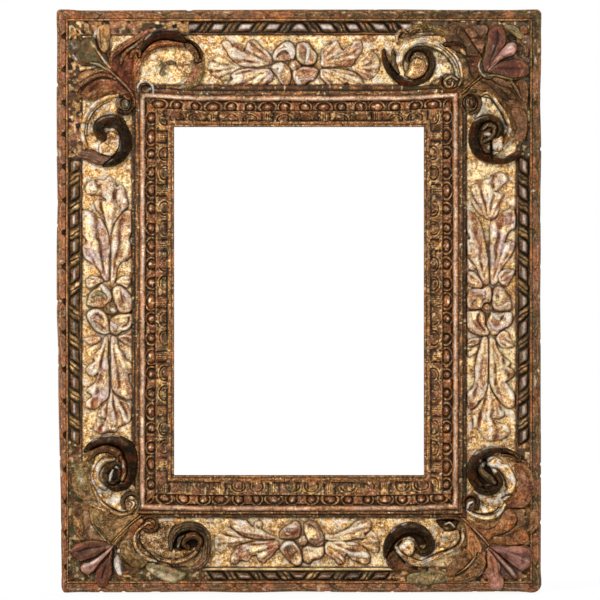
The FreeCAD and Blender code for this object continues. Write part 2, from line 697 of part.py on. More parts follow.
def back_piece(side, lap_front):
    """Rail or stile of the back frame with its lapped ends, peg holes and pilot holes."""
    span = SIDES[side][1]
    on_rail = span == "frame_width"
    kind = "back_rail" if on_rail else "back_stile"
    body = rail_body(kind, side)
    corners = [("0", "0"), ("0", "sizes.back_thickness"),
               (BACK_WIDTH, "sizes.back_thickness"), (BACK_WIDTH, "0")]
    pad_profile(body, "Plank", corners, {}, span)

    low = f"-({BACK_WIDTH}) - sizes.overrun"
    inner = f"sizes.{span} / 2 - ({BACK_WIDTH})"
    end = f"sizes.{span} / 2 + sizes.overrun"
    for name, sign in (("Right", "1"), ("Left", "-1")):
        level = "sizes.back_thickness" if lap_front else "0"
        cut = f"sizes.back_thickness - {LAP_DEPTH}" if lap_front else LAP_DEPTH
        sketch = new_sketch(body, f"Lap{name}", "XZ_Plane", level)
        outline = [(inner, "sizes.overrun"), (inner, low), (end, low), (end, "sizes.overrun")]
        draw_outline(sketch, [(f"{sign} * ({across})", up) for across, up in outline])
        pocket(body, sketch, f"LapCut{name}", cut, reverse=not lap_front)

    pegs = new_sketch(body, "PegHoles", "XZ_Plane")
    for share in PEG_SHARES:
        for sign in (1, -1):
            inset = f"({BACK_WIDTH}) * {share}"
            draw_circle(pegs, f"{sign} * (sizes.{span} / 2 - {inset})", f"-({inset})",
                        "sizes.peg_radius + sizes.peg_clearance")
    pocket(body, pegs, "PegHoleCut")

    pilots = new_sketch(body, "PilotHoles", "XZ_Plane")
    for along, run in ([("0", BUTTON_RUN)] if on_rail else stile_screws(side)):
        draw_circle(pilots, along, f"-({run})", HOLE_RADIUS)
    pocket(body, pilots, "PilotHoleCut", "sizes.screw_length + sizes.pilot_end", reverse=True)
    place_on_side(body, side)


def stile_screws(side):
    """Places along a stile and runs of its screws, in the stile's own frame."""
    upward = -1 if side == "right" else 1
    holes = [(f"{sign} * sizes.button_spread", BUTTON_RUN) for sign in (1, -1)]
    holes += [(f"{upward} * sizes.hanger_height", f"sizes.hanger_run - sizes.{screw}")
              for screw in ("strap_screw_near", "strap_screw_far")]
    return holes


def cylinder(name, radius, height, place, toward):
    """Cylinder along +Y or -Y from a place given as three expressions."""
    body = doc.addObject("Part::Cylinder", name)
    body.setExpression("Radius", radius)
    body.setExpression("Height", height)
    lay(body, place, toward)
    return body


def lay(body, place, toward):
    """Lay a round body along +Y or -Y and move it to a place given as three expressions."""
    turn = FreeCAD.Rotation(Vector(1, 0, 0), -90 * toward)
    body.Placement = FreeCAD.Placement(Vector(), turn)
    for axis, expression in zip("xyz", place):
        body.setExpression(f"Placement.Base.{axis}", expression)


def join(name, shapes):
    """Fuse document objects."""
    whole = doc.addObject("Part::MultiFuse", name)
    whole.Shapes = shapes
    return whole


def cut_away(name, base, tool):
    """Cut one document object out of another."""
    rest = doc.addObject("Part::Cut", name)
    rest.Base = base
    rest.Tool = tool
    return rest


def group(label, members):
    """Identical separate solids that share one node."""
    whole = doc.addObject("Part::Compound", label)
    whole.Label = label
    whole.Links = members
    subparts.append(whole)


def lap_pegs():
    """Pegs through the lapped corners of the back frame."""
    pegs = []
    for right in (1, -1):
        for up in (1, -1):
            for share in PEG_SHARES:
                inset = f"({BACK_WIDTH}) * {share}"
                place = (f"{right} * (sizes.frame_width / 2 - {inset})", "0",
                         f"{up} * (sizes.frame_height / 2 - {inset})")
                pegs.append(cylinder("peg", "sizes.peg_radius", "sizes.back_thickness", place, -1))
    group("lap_pegs", pegs)


def screw(place, seat):
    """Slotted round-head screw whose head bears on a seat behind the back plane."""
    across, up = place
    shank = cylinder("shank", "sizes.screw_radius", f"sizes.screw_length + {seat}",
                     (across, seat, up), -1)
    head = doc.addObject("Part::Cone", "head")
    head.setExpression("Radius1", "sizes.screw_head_radius")
    head.setExpression("Radius2", "sizes.screw_head_radius - sizes.screw_head_height / 2")
    head.setExpression("Height", "sizes.screw_head_height")
    lay(head, (across, seat, up), 1)
    slot = doc.addObject("Part::Box", "slot")
    slot.setExpression("Length", "2 * sizes.screw_head_radius")
    slot.setExpression("Width", "sizes.screw_slot_depth + sizes.overrun")
    slot.setExpression("Height", "sizes.screw_slot_width")
    slot.setExpression("Placement.Base.x", f"{across} - sizes.screw_head_radius")
    slot.setExpression("Placement.Base.y",
                       f"{seat} + sizes.screw_head_height - sizes.screw_slot_depth")
    slot.setExpression("Placement.Base.z", f"{up} - sizes.screw_slot_width / 2")
    return cut_away("screw", join("screw_blank", [shank, head]), slot)


def button_places():
    """Name of each turn button, its pivot's place and its turn about Y at rest."""
    low = f"sizes.frame_height / 2 - ({BUTTON_RUN})"
    wide = f"sizes.frame_width / 2 - ({BUTTON_RUN})"
    places = [("top", "0", low, 0), ("bottom", "0", f"-({low})", 0)]
    for name, sign in (("right", "1"), ("left", "-1")):
        places.append((f"{name}_upper", f"{sign} * ({wide})", "sizes.button_spread", 90))
        places.append((f"{name}_lower", f"{sign} * ({wide})", "-sizes.button_spread", 90))
    return places


def turn_buttons():
    """Turn buttons that hold the picture in the rebate, at rest turned clear of it, and screws."""
    screws = []
    straight = "(sizes.button_length - sizes.button_width) / 2"
    for name, across, up, turn in button_places():
        label = f"turn_button_{name}"
        plate = doc.addObject("Part::Box", f"{label}_plate")
        plate.setExpression("Length", "sizes.button_length - sizes.button_width")
        plate.setExpression("Width", "sizes.button_thickness")
        plate.setExpression("Height", "sizes.button_width")
        plate.setExpression("Placement.Base.x", f"-({straight})")
        plate.setExpression("Placement.Base.y", "sizes.button_gap")
        plate.setExpression("Placement.Base.z", "-sizes.button_width / 2")
        ends = [cylinder(f"{label}_end", "sizes.button_width / 2", "sizes.button_thickness",
                         (f"{sign} * {straight}", "sizes.button_gap", "0"), 1)
                for sign in (1, -1)]
        bore = cylinder(f"{label}_bore", "sizes.screw_radius + sizes.button_bore_clearance",
                        "sizes.button_thickness + 2 * sizes.overrun", ("0", "-sizes.overrun", "0"),
                        1)
        button = cut_away(label, join(f"{label}_blank", [plate] + ends), bore)
        button.Label = label
        button.Placement = FreeCAD.Placement(Vector(), FreeCAD.Rotation(Vector(0, 1, 0), turn))
        button.setExpression("Placement.Base.x", across)
        button.setExpression("Placement.Base.z", up)
        subparts.append(button)
        screws.append(screw((across, up), BUTTON_SEAT))
    group("turn_button_screws", screws)


# Distance of a ring's hinge axis behind the back plane
RING_AXIS = add_up("strap_thickness", "ring_stand_off", "ring_wire_radius")


def strap_hanger(side, across):
    """Strap with a rolled knuckle, screwed flat to the back of a stile."""
    label = f"strap_hanger_{side}"
    plate = doc.addObject("Part::Box", f"{label}_plate")
    plate.setExpression("Length", "sizes.strap_length - sizes.strap_width / 2")
    plate.setExpression("Width", "sizes.strap_thickness")
    plate.setExpression("Height", "sizes.strap_width")
    plate.setExpression("Placement.Base.z", "-sizes.strap_width / 2")
    end = cylinder(f"{label}_end", "sizes.strap_width / 2", "sizes.strap_thickness",
                   ("sizes.strap_length - sizes.strap_width / 2", "0", "0"), 1)
    bore_radius = "sizes.ring_wire_radius + sizes.ring_bore_clearance"
    knuckle = doc.addObject("Part::Cylinder", f"{label}_knuckle")
    knuckle.setExpression("Radius", f"{bore_radius} + sizes.strap_thickness")
    knuckle.setExpression("Height", "sizes.knuckle_length")
    bore = doc.addObject("Part::Cylinder", f"{label}_bore")
    bore.setExpression("Radius", bore_radius)
    bore.setExpression("Height", "sizes.knuckle_length + 2 * sizes.overrun")
    for roll, low in ((knuckle, "-sizes.knuckle_length / 2"),
                      (bore, "-sizes.knuckle_length / 2 - sizes.overrun")):
        roll.setExpression("Placement.Base.y", RING_AXIS)
        roll.setExpression("Placement.Base.z", low)
    holes = [cylinder(f"{label}_hole", HOLE_RADIUS, "sizes.strap_thickness + 2 * sizes.overrun",
                      (f"sizes.{screw_place}", "-sizes.overrun", "0"), 1)
             for screw_place in ("strap_screw_near", "strap_screw_far")]
    blank = join(f"{label}_blank", [plate, end, knuckle])
    strap = cut_away(label, blank, join(f"{label}_cuts", holes + [bore]))
    strap.Label = label
    turn_out(strap, side, across, "0")


def turn_out(feature, side, across, behind):
    """Move a hanger's piece to its hinge, with its strap towards the frame's outer edge."""
    turn = 0 if side == "right" else 180
    feature.Placement = FreeCAD.Placement(Vector(), FreeCAD.Rotation(Vector(0, 1, 0), turn))
    feature.setExpression("Placement.Base.x", across)
    feature.setExpression("Placement.Base.y", behind)
    feature.setExpression("Placement.Base.z", "sizes.hanger_height")
    subparts.append(feature)


def hanging_ring(side, across):
    """D-shaped wire ring that swings in the knuckle of its strap, at rest towards the middle."""
    half = length("sizes.ring_half_width")
    corner = length("sizes.ring_corner")
    reach = length("sizes.ring_side")
    wire_radius = length("sizes.ring_wire_radius")
    bend = corner * (1 - math.sqrt(0.5))
    low, high = half - corner, half
    start, top_end = Vector(0, 0, -low), Vector(0, 0, low)
    edges = [
        Part.makeLine(start, top_end),
        Part.Arc(top_end, Vector(-bend, 0, high - bend), Vector(-corner, 0, high)).toShape(),
        Part.makeLine(Vector(-corner, 0, high), Vector(-reach, 0, high)),
        Part.Arc(Vector(-reach, 0, high), Vector(-reach - half, 0, 0),
                 Vector(-reach, 0, -high)).toShape(),
        Part.makeLine(Vector(-reach, 0, -high), Vector(-corner, 0, -high)),
        Part.Arc(Vector(-corner, 0, -high), Vector(-bend, 0, -high + bend), start).toShape(),
    ]
    section = Part.Wire([Part.makeCircle(wire_radius, start, Vector(0, 0, 1))])
    ring = doc.addObject("Part::Feature", f"d_ring_{side}")
    ring.Label = f"d_ring_{side}"
    ring.Shape = Part.Wire(edges).makePipeShell([section], True, False)
    turn_out(ring, side, across, RING_AXIS)


def hangers():
    """A strap hanger with its ring on the back of each stile, and their screws."""
    screws = []
    for side, sign in (("right", 1), ("left", -1)):
        hinge = f"{sign} * (sizes.frame_width / 2 - sizes.hanger_run)"
        strap_hanger(side, hinge)
        hanging_ring(side, hinge)
        for place in ("strap_screw_near", "strap_screw_far"):
            across = f"{hinge} + {sign} * sizes.{place}"
            screws.append(screw((across, "sizes.hanger_height"), "sizes.strap_thickness"))
    group("hanger_screws", screws)


def build():
    """Make every sub-part of the frame, from the back frame to the applied ornaments."""
    for side, (_, span, _) in SIDES.items():
        back_piece(side, lap_front=span == "frame_height")
    lap_pegs()
    for side in SIDES:
        outer_moulding(side)
        twist_moulding(side)
        frieze_board(side)
        inner_moulding(side)
    bed = corner_bed()
    for corner in CORNERS:
        corner_leaf(corner, bed)
        palmette(corner, bed)
        for lies_on in ("rail", "stile"):
            scroll(lies_on, corner, bed)
    turn_buttons()
    hangers()
    doc.recompute()


def check_and_write():
    """Stop at any object that failed, then write every sub-part to its own file."""
    for thing in doc.Objects:
        if "Invalid" in thing.State or "Error" in thing.State:
            raise RuntimeError(f"{thing.Label}: {thing.State}")
    for piece in subparts:
        if piece.Shape.isNull() or not piece.Shape.isValid():
            raise RuntimeError(f"{piece.Label}: null or not valid")
    os.makedirs("parts", exist_ok=True)
    for piece in subparts:
        piece.Shape.exportStep(f"parts/{piece.Label}.step")
        box = piece.Shape.BoundBox
        print(f"{piece.Label}: {len(piece.Shape.Solids)} solids, "
              f"{box.XLength:.1f} x {box.YLength:.1f} x {box.ZLength:.1f} mm")
    print(len(subparts), "sub-parts")


build()
check_and_write()
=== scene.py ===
# %% [markdown]
# # A carved and gilded picture frame
# The real frame is a flat pine carcass with carved wood glued on: an outer band, a twisted
# ribbon, a flat frieze with rosettes and leaf sprays, corner scrolls with palmettes, and a
# beaded inner moulding. All of it wears old gold leaf over red clay and dark glazes.
# The measured model holds the sizes. This script carves the surfaces that it leaves plain.

# %% Load the measured frame
import math

import bmesh
import bpy
import numpy as np
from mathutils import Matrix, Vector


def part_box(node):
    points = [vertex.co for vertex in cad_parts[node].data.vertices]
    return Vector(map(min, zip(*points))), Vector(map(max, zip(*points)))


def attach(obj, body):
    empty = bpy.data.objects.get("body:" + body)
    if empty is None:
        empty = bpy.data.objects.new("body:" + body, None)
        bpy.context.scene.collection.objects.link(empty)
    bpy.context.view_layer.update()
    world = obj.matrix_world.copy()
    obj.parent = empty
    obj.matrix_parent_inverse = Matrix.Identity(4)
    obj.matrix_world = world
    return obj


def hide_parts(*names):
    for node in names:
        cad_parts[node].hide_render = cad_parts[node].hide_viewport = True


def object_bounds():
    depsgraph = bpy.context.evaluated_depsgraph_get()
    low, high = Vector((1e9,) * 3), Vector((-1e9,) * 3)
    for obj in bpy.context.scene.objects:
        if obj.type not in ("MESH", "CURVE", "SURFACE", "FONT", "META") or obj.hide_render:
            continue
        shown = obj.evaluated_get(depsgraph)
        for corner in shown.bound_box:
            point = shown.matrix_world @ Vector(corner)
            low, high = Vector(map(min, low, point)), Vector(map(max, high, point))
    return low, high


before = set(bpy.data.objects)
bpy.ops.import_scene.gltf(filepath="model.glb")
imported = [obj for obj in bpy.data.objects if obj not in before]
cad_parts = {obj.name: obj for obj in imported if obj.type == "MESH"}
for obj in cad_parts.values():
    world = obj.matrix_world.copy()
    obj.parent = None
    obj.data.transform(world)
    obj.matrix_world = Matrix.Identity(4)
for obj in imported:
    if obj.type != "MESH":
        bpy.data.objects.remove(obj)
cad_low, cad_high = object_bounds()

# %% [markdown]
# A carver draws the ornament on the board before cutting. Here the drawing is made of points read off the
# photograph, in its pixels. One pixel is 1.2 mm of the frame, and the frame's centre lies at a known pixel,
# so every drawn point has one place on the real thing.

# %% Units and the drawing's scale
MM = 0.001
PIXEL = 1.2 * MM
CENTRE_X, CENTRE_Y = 299, 301
HALF_WIDTH, HALF_HEIGHT = cad_high.x, cad_high.z


def pixel_of(x, z):
    """Photograph pixel of a place on the front of the frame."""
    return CENTRE_X + x / PIXEL, CENTRE_Y - z / PIXEL


def mesh_of(bm, name):
    """Mesh with the shape of a bmesh, which is given up."""
    mesh = bpy.data.meshes.new(name)
    bm.to_mesh(mesh)
    bm.free()
    return mesh


def in_scene(name, data):
    """New object in the scene, at the origin and unturned."""
    thing = bpy.data.objects.new(name, data)
    bpy.context.scene.collection.objects.link(thing)
    return thing


print("half width and height in pixels", round(HALF_WIDTH / PIXEL, 1), round(HALF_HEIGHT / PIXEL, 1))

# %% [markdown]
# Hand work is never even. A soft random field, the same at each run, bends edges, varies
# depths and spreads the wear. It is a lattice of seeded random numbers, eased between nodes.

# %% Soft random field


def uneven(x, y, size, seed):
    """Smooth random values from -1 to 1 over the plane, with features of about `size`."""
    table = np.random.default_rng(seed).uniform(-1, 1, (64, 64))
    gx, gy = x / size, y / size
    ix, iy = np.floor(gx).astype(int), np.floor(gy).astype(int)
    fx, fy = gx - ix, gy - iy
    fx, fy = fx * fx * (3 - 2 * fx), fy * fy * (3 - 2 * fy)
    near, far = table[ix % 64, iy % 64], table[(ix + 1) % 64, iy % 64]
    near_up, far_up = table[ix % 64, (iy + 1) % 64], table[(ix + 1) % 64, (iy + 1) % 64]
    low = near + (far - near) * fx
    return low + (near_up + (far_up - near_up) * fx - low) * fy


def ease(value, low, high):
    """0 below low, 1 above high, and a soft step between them."""
    share = np.clip((value - low) / (high - low), 0, 1)
    return share * share * (3 - 2 * share)


def drift(along, size, seed):
    """Smooth random values from -1 to 1 that change along a side only."""
    return uneven(along, along * 0, size, seed)


def mottle(place, size, seed, low, high):
    """Soft patches from 0 to 1 over a place, which is a pair of x and y."""
    return ease(uneven(*place, size, seed), low, high)


def bell(distance, width):
    """1 where the distance is 0, and almost 0 from twice the width on."""
    return np.exp(-(distance / width) ** 2)


def hump(share, power=2):
    """1 where the share is 0, falling to 0 where it is 1: a higher power makes it flatter."""
    return np.clip(1 - np.abs(share) ** power, 0, 1)


def between(value, rise, fall):
    """1 between two soft steps, each a pair of where it starts and where it ends."""
    return ease(value, *rise) * (1 - ease(value, *fall))


print("field at one place", round(float(uneven(10.0, 20.0, 7, 1)), 3))

# %% [markdown]
# A drawn line is a few points with a width and a height. A smooth curve through them keeps
# the number of points small. For each point of the surface the nearest place on the line
# says how far beside it the point lies, which is all that a gouge cut needs.

# %% Smooth lines and the place beside a line
# pixels between the points of a smooth line
LINE_STEP = 0.7


def smooth_line(rows, closed=False):
    """Curve through the rows of a drawing; widths and heights ease along with it. A single
    row makes a dot."""
    rows = np.array(rows, float)
    if len(rows) == 1:
        rows = np.repeat(rows, 2, axis=0)
        rows[1, 0] += 0.3
    if closed:
        before, after = rows[-1:], rows[:2]
    else:
        before, after = 2 * rows[:1] - rows[1:2], 2 * rows[-1:] - rows[-2:-1]
    knots = np.concatenate([before, rows, after])
    pieces = []
    for a, b, c, d in zip(knots, knots[1:], knots[2:], knots[3:]):
        count = max(2, int(np.hypot(*(c - b)[:2]) / LINE_STEP))
        t = (np.arange(count) / count)[:, None]
        pieces.append(0.5 * (2 * b + (c - a) * t + (2 * a - 5 * b + 4 * c - d) * t * t
                             + (3 * b - a - 3 * c + d) * t ** 3))
    pieces.append(knots[-2:-1] if not closed else rows[:1])
    return np.concatenate(pieces)


def beside(points, line):
    """Columns of the line at its place nearest to each point, and signed distance to it."""
    nearest = np.argmin(((points[:, None] - line[None, :, :2]) ** 2).sum(2), axis=1)
    best = np.full(len(points), np.inf)
    columns, signed = np.zeros((len(points), line.shape[1])), best.copy()
    for start in (nearest - 1, nearest):
        start = np.clip(start, 0, len(line) - 2)
        here, there = line[start], line[start + 1]
        edge = there[:, :2] - here[:, :2]
        length = np.maximum((edge ** 2).sum(1), 1e-9)
        t = np.clip(((points - here[:, :2]) * edge).sum(1) / length, 0, 1)
        foot = here + (there - here) * t[:, None]
        gap = points - foot[:, :2]
        distance = np.hypot(gap[:, 0], gap[:, 1])
        side = np.sign(edge[:, 0] * gap[:, 1] - edge[:, 1] * gap[:, 0])
        better = distance < best
        best[better] = distance[better]
        columns[better] = foot[better]
        signed[better] = (distance * np.where(side == 0, 1, side))[better]
    return columns, signed


def inside(points, outline):
    """Which points lie within a closed outline."""
    x, y = points[:, 0], points[:, 1]
    crossings = np.zeros(len(points), int)
    for (ax, ay), (bx, by) in zip(outline[:, :2], np.roll(outline[:, :2], -1, axis=0)):
        spans = (ay > y) != (by > y)
        if spans.any():
            crossings[spans] += x[spans] < (bx - ax) * (y[spans] - ay) / (by - ay) + ax
    return crossings % 2 == 1


print("points on a line of 10 pixels", len(smooth_line([(0, 0), (10, 0)])))


# %% [markdown]
# Old finishes come in a few named colours. Each carved stroke is painted with one of them,
# together with how much bright metal it still shows.

# %% Colours of the finish


def linear(red, green, blue):
    """Linear colour from the 0-255 values that a paint chart gives."""
    return np.array([(v / 255) ** 2.2 for v in (red, green, blue)])


# paint chart colour and share of bright metal; chalk stands for bared white ground and for painted
# highlights, and silver only for painted highlights
PAINT_CHART = {
    "gold": ((214, 160, 86), 0.9),
    "pale_gold": ((246, 214, 152), 0.85),
    "dull_gold": ((160, 112, 58), 0.6),
    "bole": ((126, 68, 34), 0.25),
    "umber": ((80, 53, 31), 0.12),
    "soot": ((18, 15, 11), 0.05),
    "cream": ((206, 178, 148), 0.4),
    "lilac": ((200, 176, 170), 0.4),
    "rose": ((160, 100, 74), 0.25),
    "maroon": ((92, 46, 38), 0.15),
    "pink": ((206, 150, 138), 0.3),
    "sage": ((132, 122, 84), 0.2),
    "chalk": ((248, 240, 222), 0.05),
    "olive": ((100, 78, 40), 0.3),
    "slate": ((74, 66, 50), 0.15),
    "silver": ((206, 200, 186), 0.5),
    "mauve": ((116, 84, 68), 0.12),
    "mahogany": ((88, 34, 12), 0.12),
    "amber": ((186, 112, 48), 0.5),
    "moss": ((64, 62, 38), 0.1),
}
FINISHES = {name: (linear(*chart), metal) for name, (chart, metal) in PAINT_CHART.items()}
print(len(FINISHES), "finishes")

# %% [markdown]
# Carving is easiest as a surface that is only ever seen from the front. A grid from bmesh
# gives the points. Each stroke lifts or cuts them and paints them, and at the end the edge
# of the grid is extruded to the back and closed, so every carving is a solid block of wood.

# %% A carved block
# pixels over which the edge of a stroke rises
EDGE_SOFT = 0.8
# strokes in these finishes are cut smooth, without ribs, and get a painted highlight on their side towards
# the light
SMOOTH_FINISHES = ("soot", "mahogany", "silver")
# a finish with more bright metal than this is gilding and wears like it
GILDED = 0.8
# the way the light falls over the drawing, right and down
LIGHT_WAY = (0.5, 0.86)
# ribs that the gouge leaves across a band: their distance in pixels and their depth
RIB_PITCH, RIB_DEPTH = 2.7, 0.38 * MM
# for dirt, painted shade and wear, a point is compared with its surroundings after so many softenings
NEARBY, WIDE_AROUND = 6, 70
# how far below its wide surroundings a point is darkened in full by dirt and painted shade, and how far above
# the near ones bare
DEEP, RUBBED = 3.2 * MM, 0.8 * MM


class Carving:
    """A block whose front is carved: a height, a paint and a share of bright metal per point."""

    def __init__(self, name, columns, rows, place):
        """Flat grid of so many cells; place gives x and z of points from -1 to 1 on both axes."""
        grid = bmesh.new()
        bmesh.ops.create_grid(grid, x_segments=columns, y_segments=rows, size=1)
        self.mesh = mesh_of(grid, name)
        flat = np.empty(len(self.mesh.vertices) * 3)
        self.mesh.vertices.foreach_get("co", flat)
        u, v = flat.reshape(-1, 3)[:, 0], flat.reshape(-1, 3)[:, 1]
        self.x, self.z = place(u, v)
        self.points = np.stack(pixel_of(self.x, self.z), axis=1)
        self.order = np.rint((v + 1) / 2 * rows).astype(int) * (columns + 1) \
            + np.rint((u + 1) / 2 * columns).astype(int)
        self.lattice = (rows + 1, columns + 1)
        count = len(self.x)
        self.lift, self.leaf = np.zeros(count), np.zeros(count)
        self.tint = np.zeros((count, 3))
        self.name = name

    def near(self, line, reach):
        """Numbers of the points in the box around a line, with a margin in pixels."""
        low, high = line[:, :2].min(0) - reach, line[:, :2].max(0) + reach
        return np.flatnonzero(((self.points > low) & (self.points < high)).all(1))

    def paint(self, at, finish, cover):
        """Paint over some of the points, with a cover for each of them."""
        colour, leaf = FINISHES[finish]
        self.tint[at] += (colour - self.tint[at]) * cover[:, None]
        self.leaf[at] += (leaf - self.leaf[at]) * cover

    def wash(self, finish, cover):
        """Paint over the whole block, with a cover for every point."""
        self.paint(slice(None), finish, cover)

    def patches(self, at, size, seed, low=-0.25, high=0.35):
        """Soft patches from 0 to 1 over the wood, with features of about `size` mm."""
        return mottle((self.x[at] / MM, self.z[at] / MM), size, seed, low, high)

    def lay(self, at, rise, wall, over):
        """Adds a stroke: it stands over what is there, or takes its place."""
        if over:
            self.lift[at] += (rise - self.lift[at]) * wall
        else:
            self.lift[at] = np.maximum(self.lift[at], rise * wall)

    def band(self, rows, finish, side):
        """Raised band along a line. Rows: x, y, half width in pixels, height in mm.
        side is the share of the height that its edges keep: above 1 the band is hollow."""
        line = smooth_line(rows)
        at = self.near(line, line[:, 2].max() + 1)
        if not len(at):
            return
        here, signed = beside(self.points[at], line)
        wall = np.clip((here[:, 2] - np.abs(signed)) / EDGE_SOFT + 0.5, 0, 1)
        round_top = 1 - np.clip(np.abs(signed) / np.maximum(here[:, 2], 0.1), 0, 1) ** 2
        rise = here[:, 3] * MM * (side + (1 - side) * (round_top if side > 1 else np.sqrt(round_top)))
        carved = ease(here[:, 2], 2, 3.4) * (finish not in SMOOTH_FINISHES)
        waver = 0.8 * uneven(*self.points[at].T, 6, 51)
        ribs = np.cos(2 * math.pi * (signed + waver) / RIB_PITCH) * carved
        self.lay(at, rise + RIB_DEPTH * ribs * wall, wall, True)
        self.paint(at, finish, wall)
        if FINISHES[finish][1] > GILDED:
            self.wear_and_glints(at, wall)
        # Darker paint in the troughs of the ribs is painted shade, and amber on their crests is a painted
        # highlight.
        self.paint(at, "umber", wall * np.clip(-ribs, 0, 1) * 0.4)
        self.paint(at, "amber", wall * np.clip(ribs, 0, 1) * 0.4 * self.patches(at, 5, 52))
        if finish in SMOOTH_FINISHES:
            # A dark smooth band gets a thin pale streak on its side towards the light, which is a painted
            # highlight. Its mahogany patches are the paint's own tone.
            towards_light = (here[:, :2] - self.points[at]) @ LIGHT_WAY / np.maximum(here[:, 2], 0.1)
            self.paint(at, "mahogany", wall * 0.35 * self.patches(at, 9, 55, 0.1, 0.5))
            streak = bell(towards_light - 0.62, 0.13) * self.patches(at, 7, 54, 0, 0.4)
            self.paint(at, "silver", wall * 0.7 * streak)

    def coat(self, finish):
        """First coat, which covers the whole block."""
        self.wash(finish, np.ones(len(self.x)))

    def groove(self, rows, finish, depth, cover=0.8):
        """Cut along a line. Rows: x, y, half width in pixels."""
        line = smooth_line(rows)
        at = self.near(line, line[:, 2].max() * 2.5)
        if not len(at):
            return
        here, signed = beside(self.points[at], line)
        share = bell(signed, np.maximum(here[:, 2], 0.1))
        self.lift[at] -= depth * MM * share
        self.paint(at, finish, share * cover * (1 if depth else 0.45 + 0.55 * self.patches(at, 3, 53)))

    def daub(self, rows, finish, cover):
        """Paint alone along a line, with soft edges. Rows: x, y, half width in pixels."""
        self.groove(rows, finish, 0, cover)

    def wear_and_glints(self, at, wall):
        """Clay showing through gold in small patches, and pale patches beside them as painted glints."""
        self.paint(at, "bole", wall * 0.75 * self.patches(at, 4, 45, 0.05, 0.4))
        self.paint(at, "chalk", wall * 0.7 * self.patches(at, 6, 46, 0.1, 0.45))

    def leaf_shape(self, outline, height, finish, edge=2.6, foot=0.35, dish=0.0, fan=None, petal=False,
                   over=False, line=0.85):
        """Leaf within a closed outline. foot is the share of the height that its edge has, dish
        hollows its middle and fan is the point that its flutes spread from. Leaves with flutes
        and petals are gilded under their glaze."""
        closed = smooth_line(outline, closed=True)
        at = self.near(closed, 5)
        if not len(at):
            return
        points = self.points[at]
        here, gap = beside(points, closed)
        within = np.where(inside(points, closed), 1, -1)
        signed = np.abs(gap) * within + 0.3 * uneven(*points.T, 3.5, 31)
        # The side of the outline that faces away from the light, down and right, gets painted shade, and the
        # side towards the light gets a painted highlight.
        lower = (here[:, :2] - points) @ LIGHT_WAY / np.maximum(np.abs(gap), 0.2) * within
        shaded_side = 0.15 + 0.85 * ease(lower, -0.5, 0.6)
        wall = np.clip(signed / EDGE_SOFT + 0.5, 0, 1)
        roll = np.sqrt(1 - (1 - np.clip(signed / edge, 0, 1)) ** 2)
        rise = height * MM * (foot + (1 - foot) * roll - dish * ease(signed, edge * 0.7, edge * 2.2))
        gilt = fan or petal
        if fan:
            turn = np.arctan2(points[:, 1] - fan[1], points[:, 0] - fan[0])
            far = np.hypot(points[:, 0] - fan[0], points[:, 1] - fan[1])
            bend = 1.6 * uneven(*points.T, 13, 33)
            flutes = np.cos(turn * 20 + bend) * ease(far, 6, 20)
            flutes += 0.7 * np.cos(turn * 41 + bend) * ease(far, 14, 34)
            rise += 1.0 * MM * flutes * ease(signed, 0.4, 2.5)
        self.lay(at, rise, wall, over)
        if gilt:
            self.paint(at, "gold", wall)
            self.paint(at, finish, wall * (0.35 + 0.65 * self.patches(at, 9, 32)))
            self.paint(at, "pale_gold", wall * self.patches(at, 11, 35, 0.2, 0.5))
            self.paint(at, "rose", wall * 0.6 * self.patches(at, 7, 43, 0, 0.4))
            self.paint(at, "bole", wall * 0.6 * self.patches(at, 3, 44, 0.2, 0.6))
            # A reddish painted shade beside the outline, strongest on the side away from the light.
            shade_halo = bell(signed - 0.5, 1.9)
            self.paint(at, "bole", shade_halo * 0.8 * shaded_side * self.patches(at, 8, 41, -0.35, 0.35))
            # A pale painted highlight just inside the outline, on the side towards the light.
            rubbed = wall * (1.1 - shaded_side) * self.patches(at, 7, 42, -0.3, 0.2)
            self.paint(at, "chalk", np.clip(rubbed, 0, 1) * bell(signed - 1.5, 0.9))
            if petal:
                # Painted shade in the hollow of a petal.
                hollow = ease(signed, 2, 4.4) * self.patches(at, 5, 47, -0.4, 0.3)
                self.paint(at, "bole", wall * 0.8 * hollow)
        else:
            self.paint(at, finish, wall)
            if FINISHES[finish][1] > GILDED:
                self.wear_and_glints(at, wall)
            else:
                self.paint(at, "umber", wall * 0.5 * self.patches(at, 5, 36, 0, 0.6))
        if fan:
            # The troughs of the flutes get painted shade and their ridges a painted highlight.
            self.paint(at, "bole", wall * np.clip(-flutes, 0, 1) * self.patches(at, 6, 36, -0.6, 0.2))
            self.paint(at, "chalk", wall * np.clip(flutes, 0, 1) * 0.95 * self.patches(at, 5, 37, -0.2, 0.3))
        # The dark outline is cut a little into the wood and painted darker on the side away from the light,
        # which is painted shade.
        rim = bell(signed + 0.3, 0.4) * line * shaded_side * self.patches(at, 6, 40, -0.4, 0.35)
        self.paint(at, "umber", rim)
        self.lift[at] -= 0.5 * MM * rim

    def soften(self, field, times):
        """Average of each point with its neighbours on the lattice, several times over."""
        flat = np.empty(len(field))
        flat[self.order] = field
        grid = flat.reshape(self.lattice)
        for _ in range(times):
            wide = np.pad(grid, 1, mode="edge")
            grid = (wide[1:-1, 1:-1] * 2 + wide[:-2, 1:-1] + wide[2:, 1:-1]
                    + wide[1:-1, :-2] + wide[1:-1, 2:]) / 6
        return grid.reshape(-1)[self.order]

    def hand_work(self, seed, depth):
        """Uneven knife marks over the whole surface, with a depth in mm."""
        x, z = self.x / MM, self.z / MM
        self.lift += depth * MM * (0.6 * uneven(x, z, 7, seed) + 0.4 * uneven(x, z, 2.6, seed + 1))

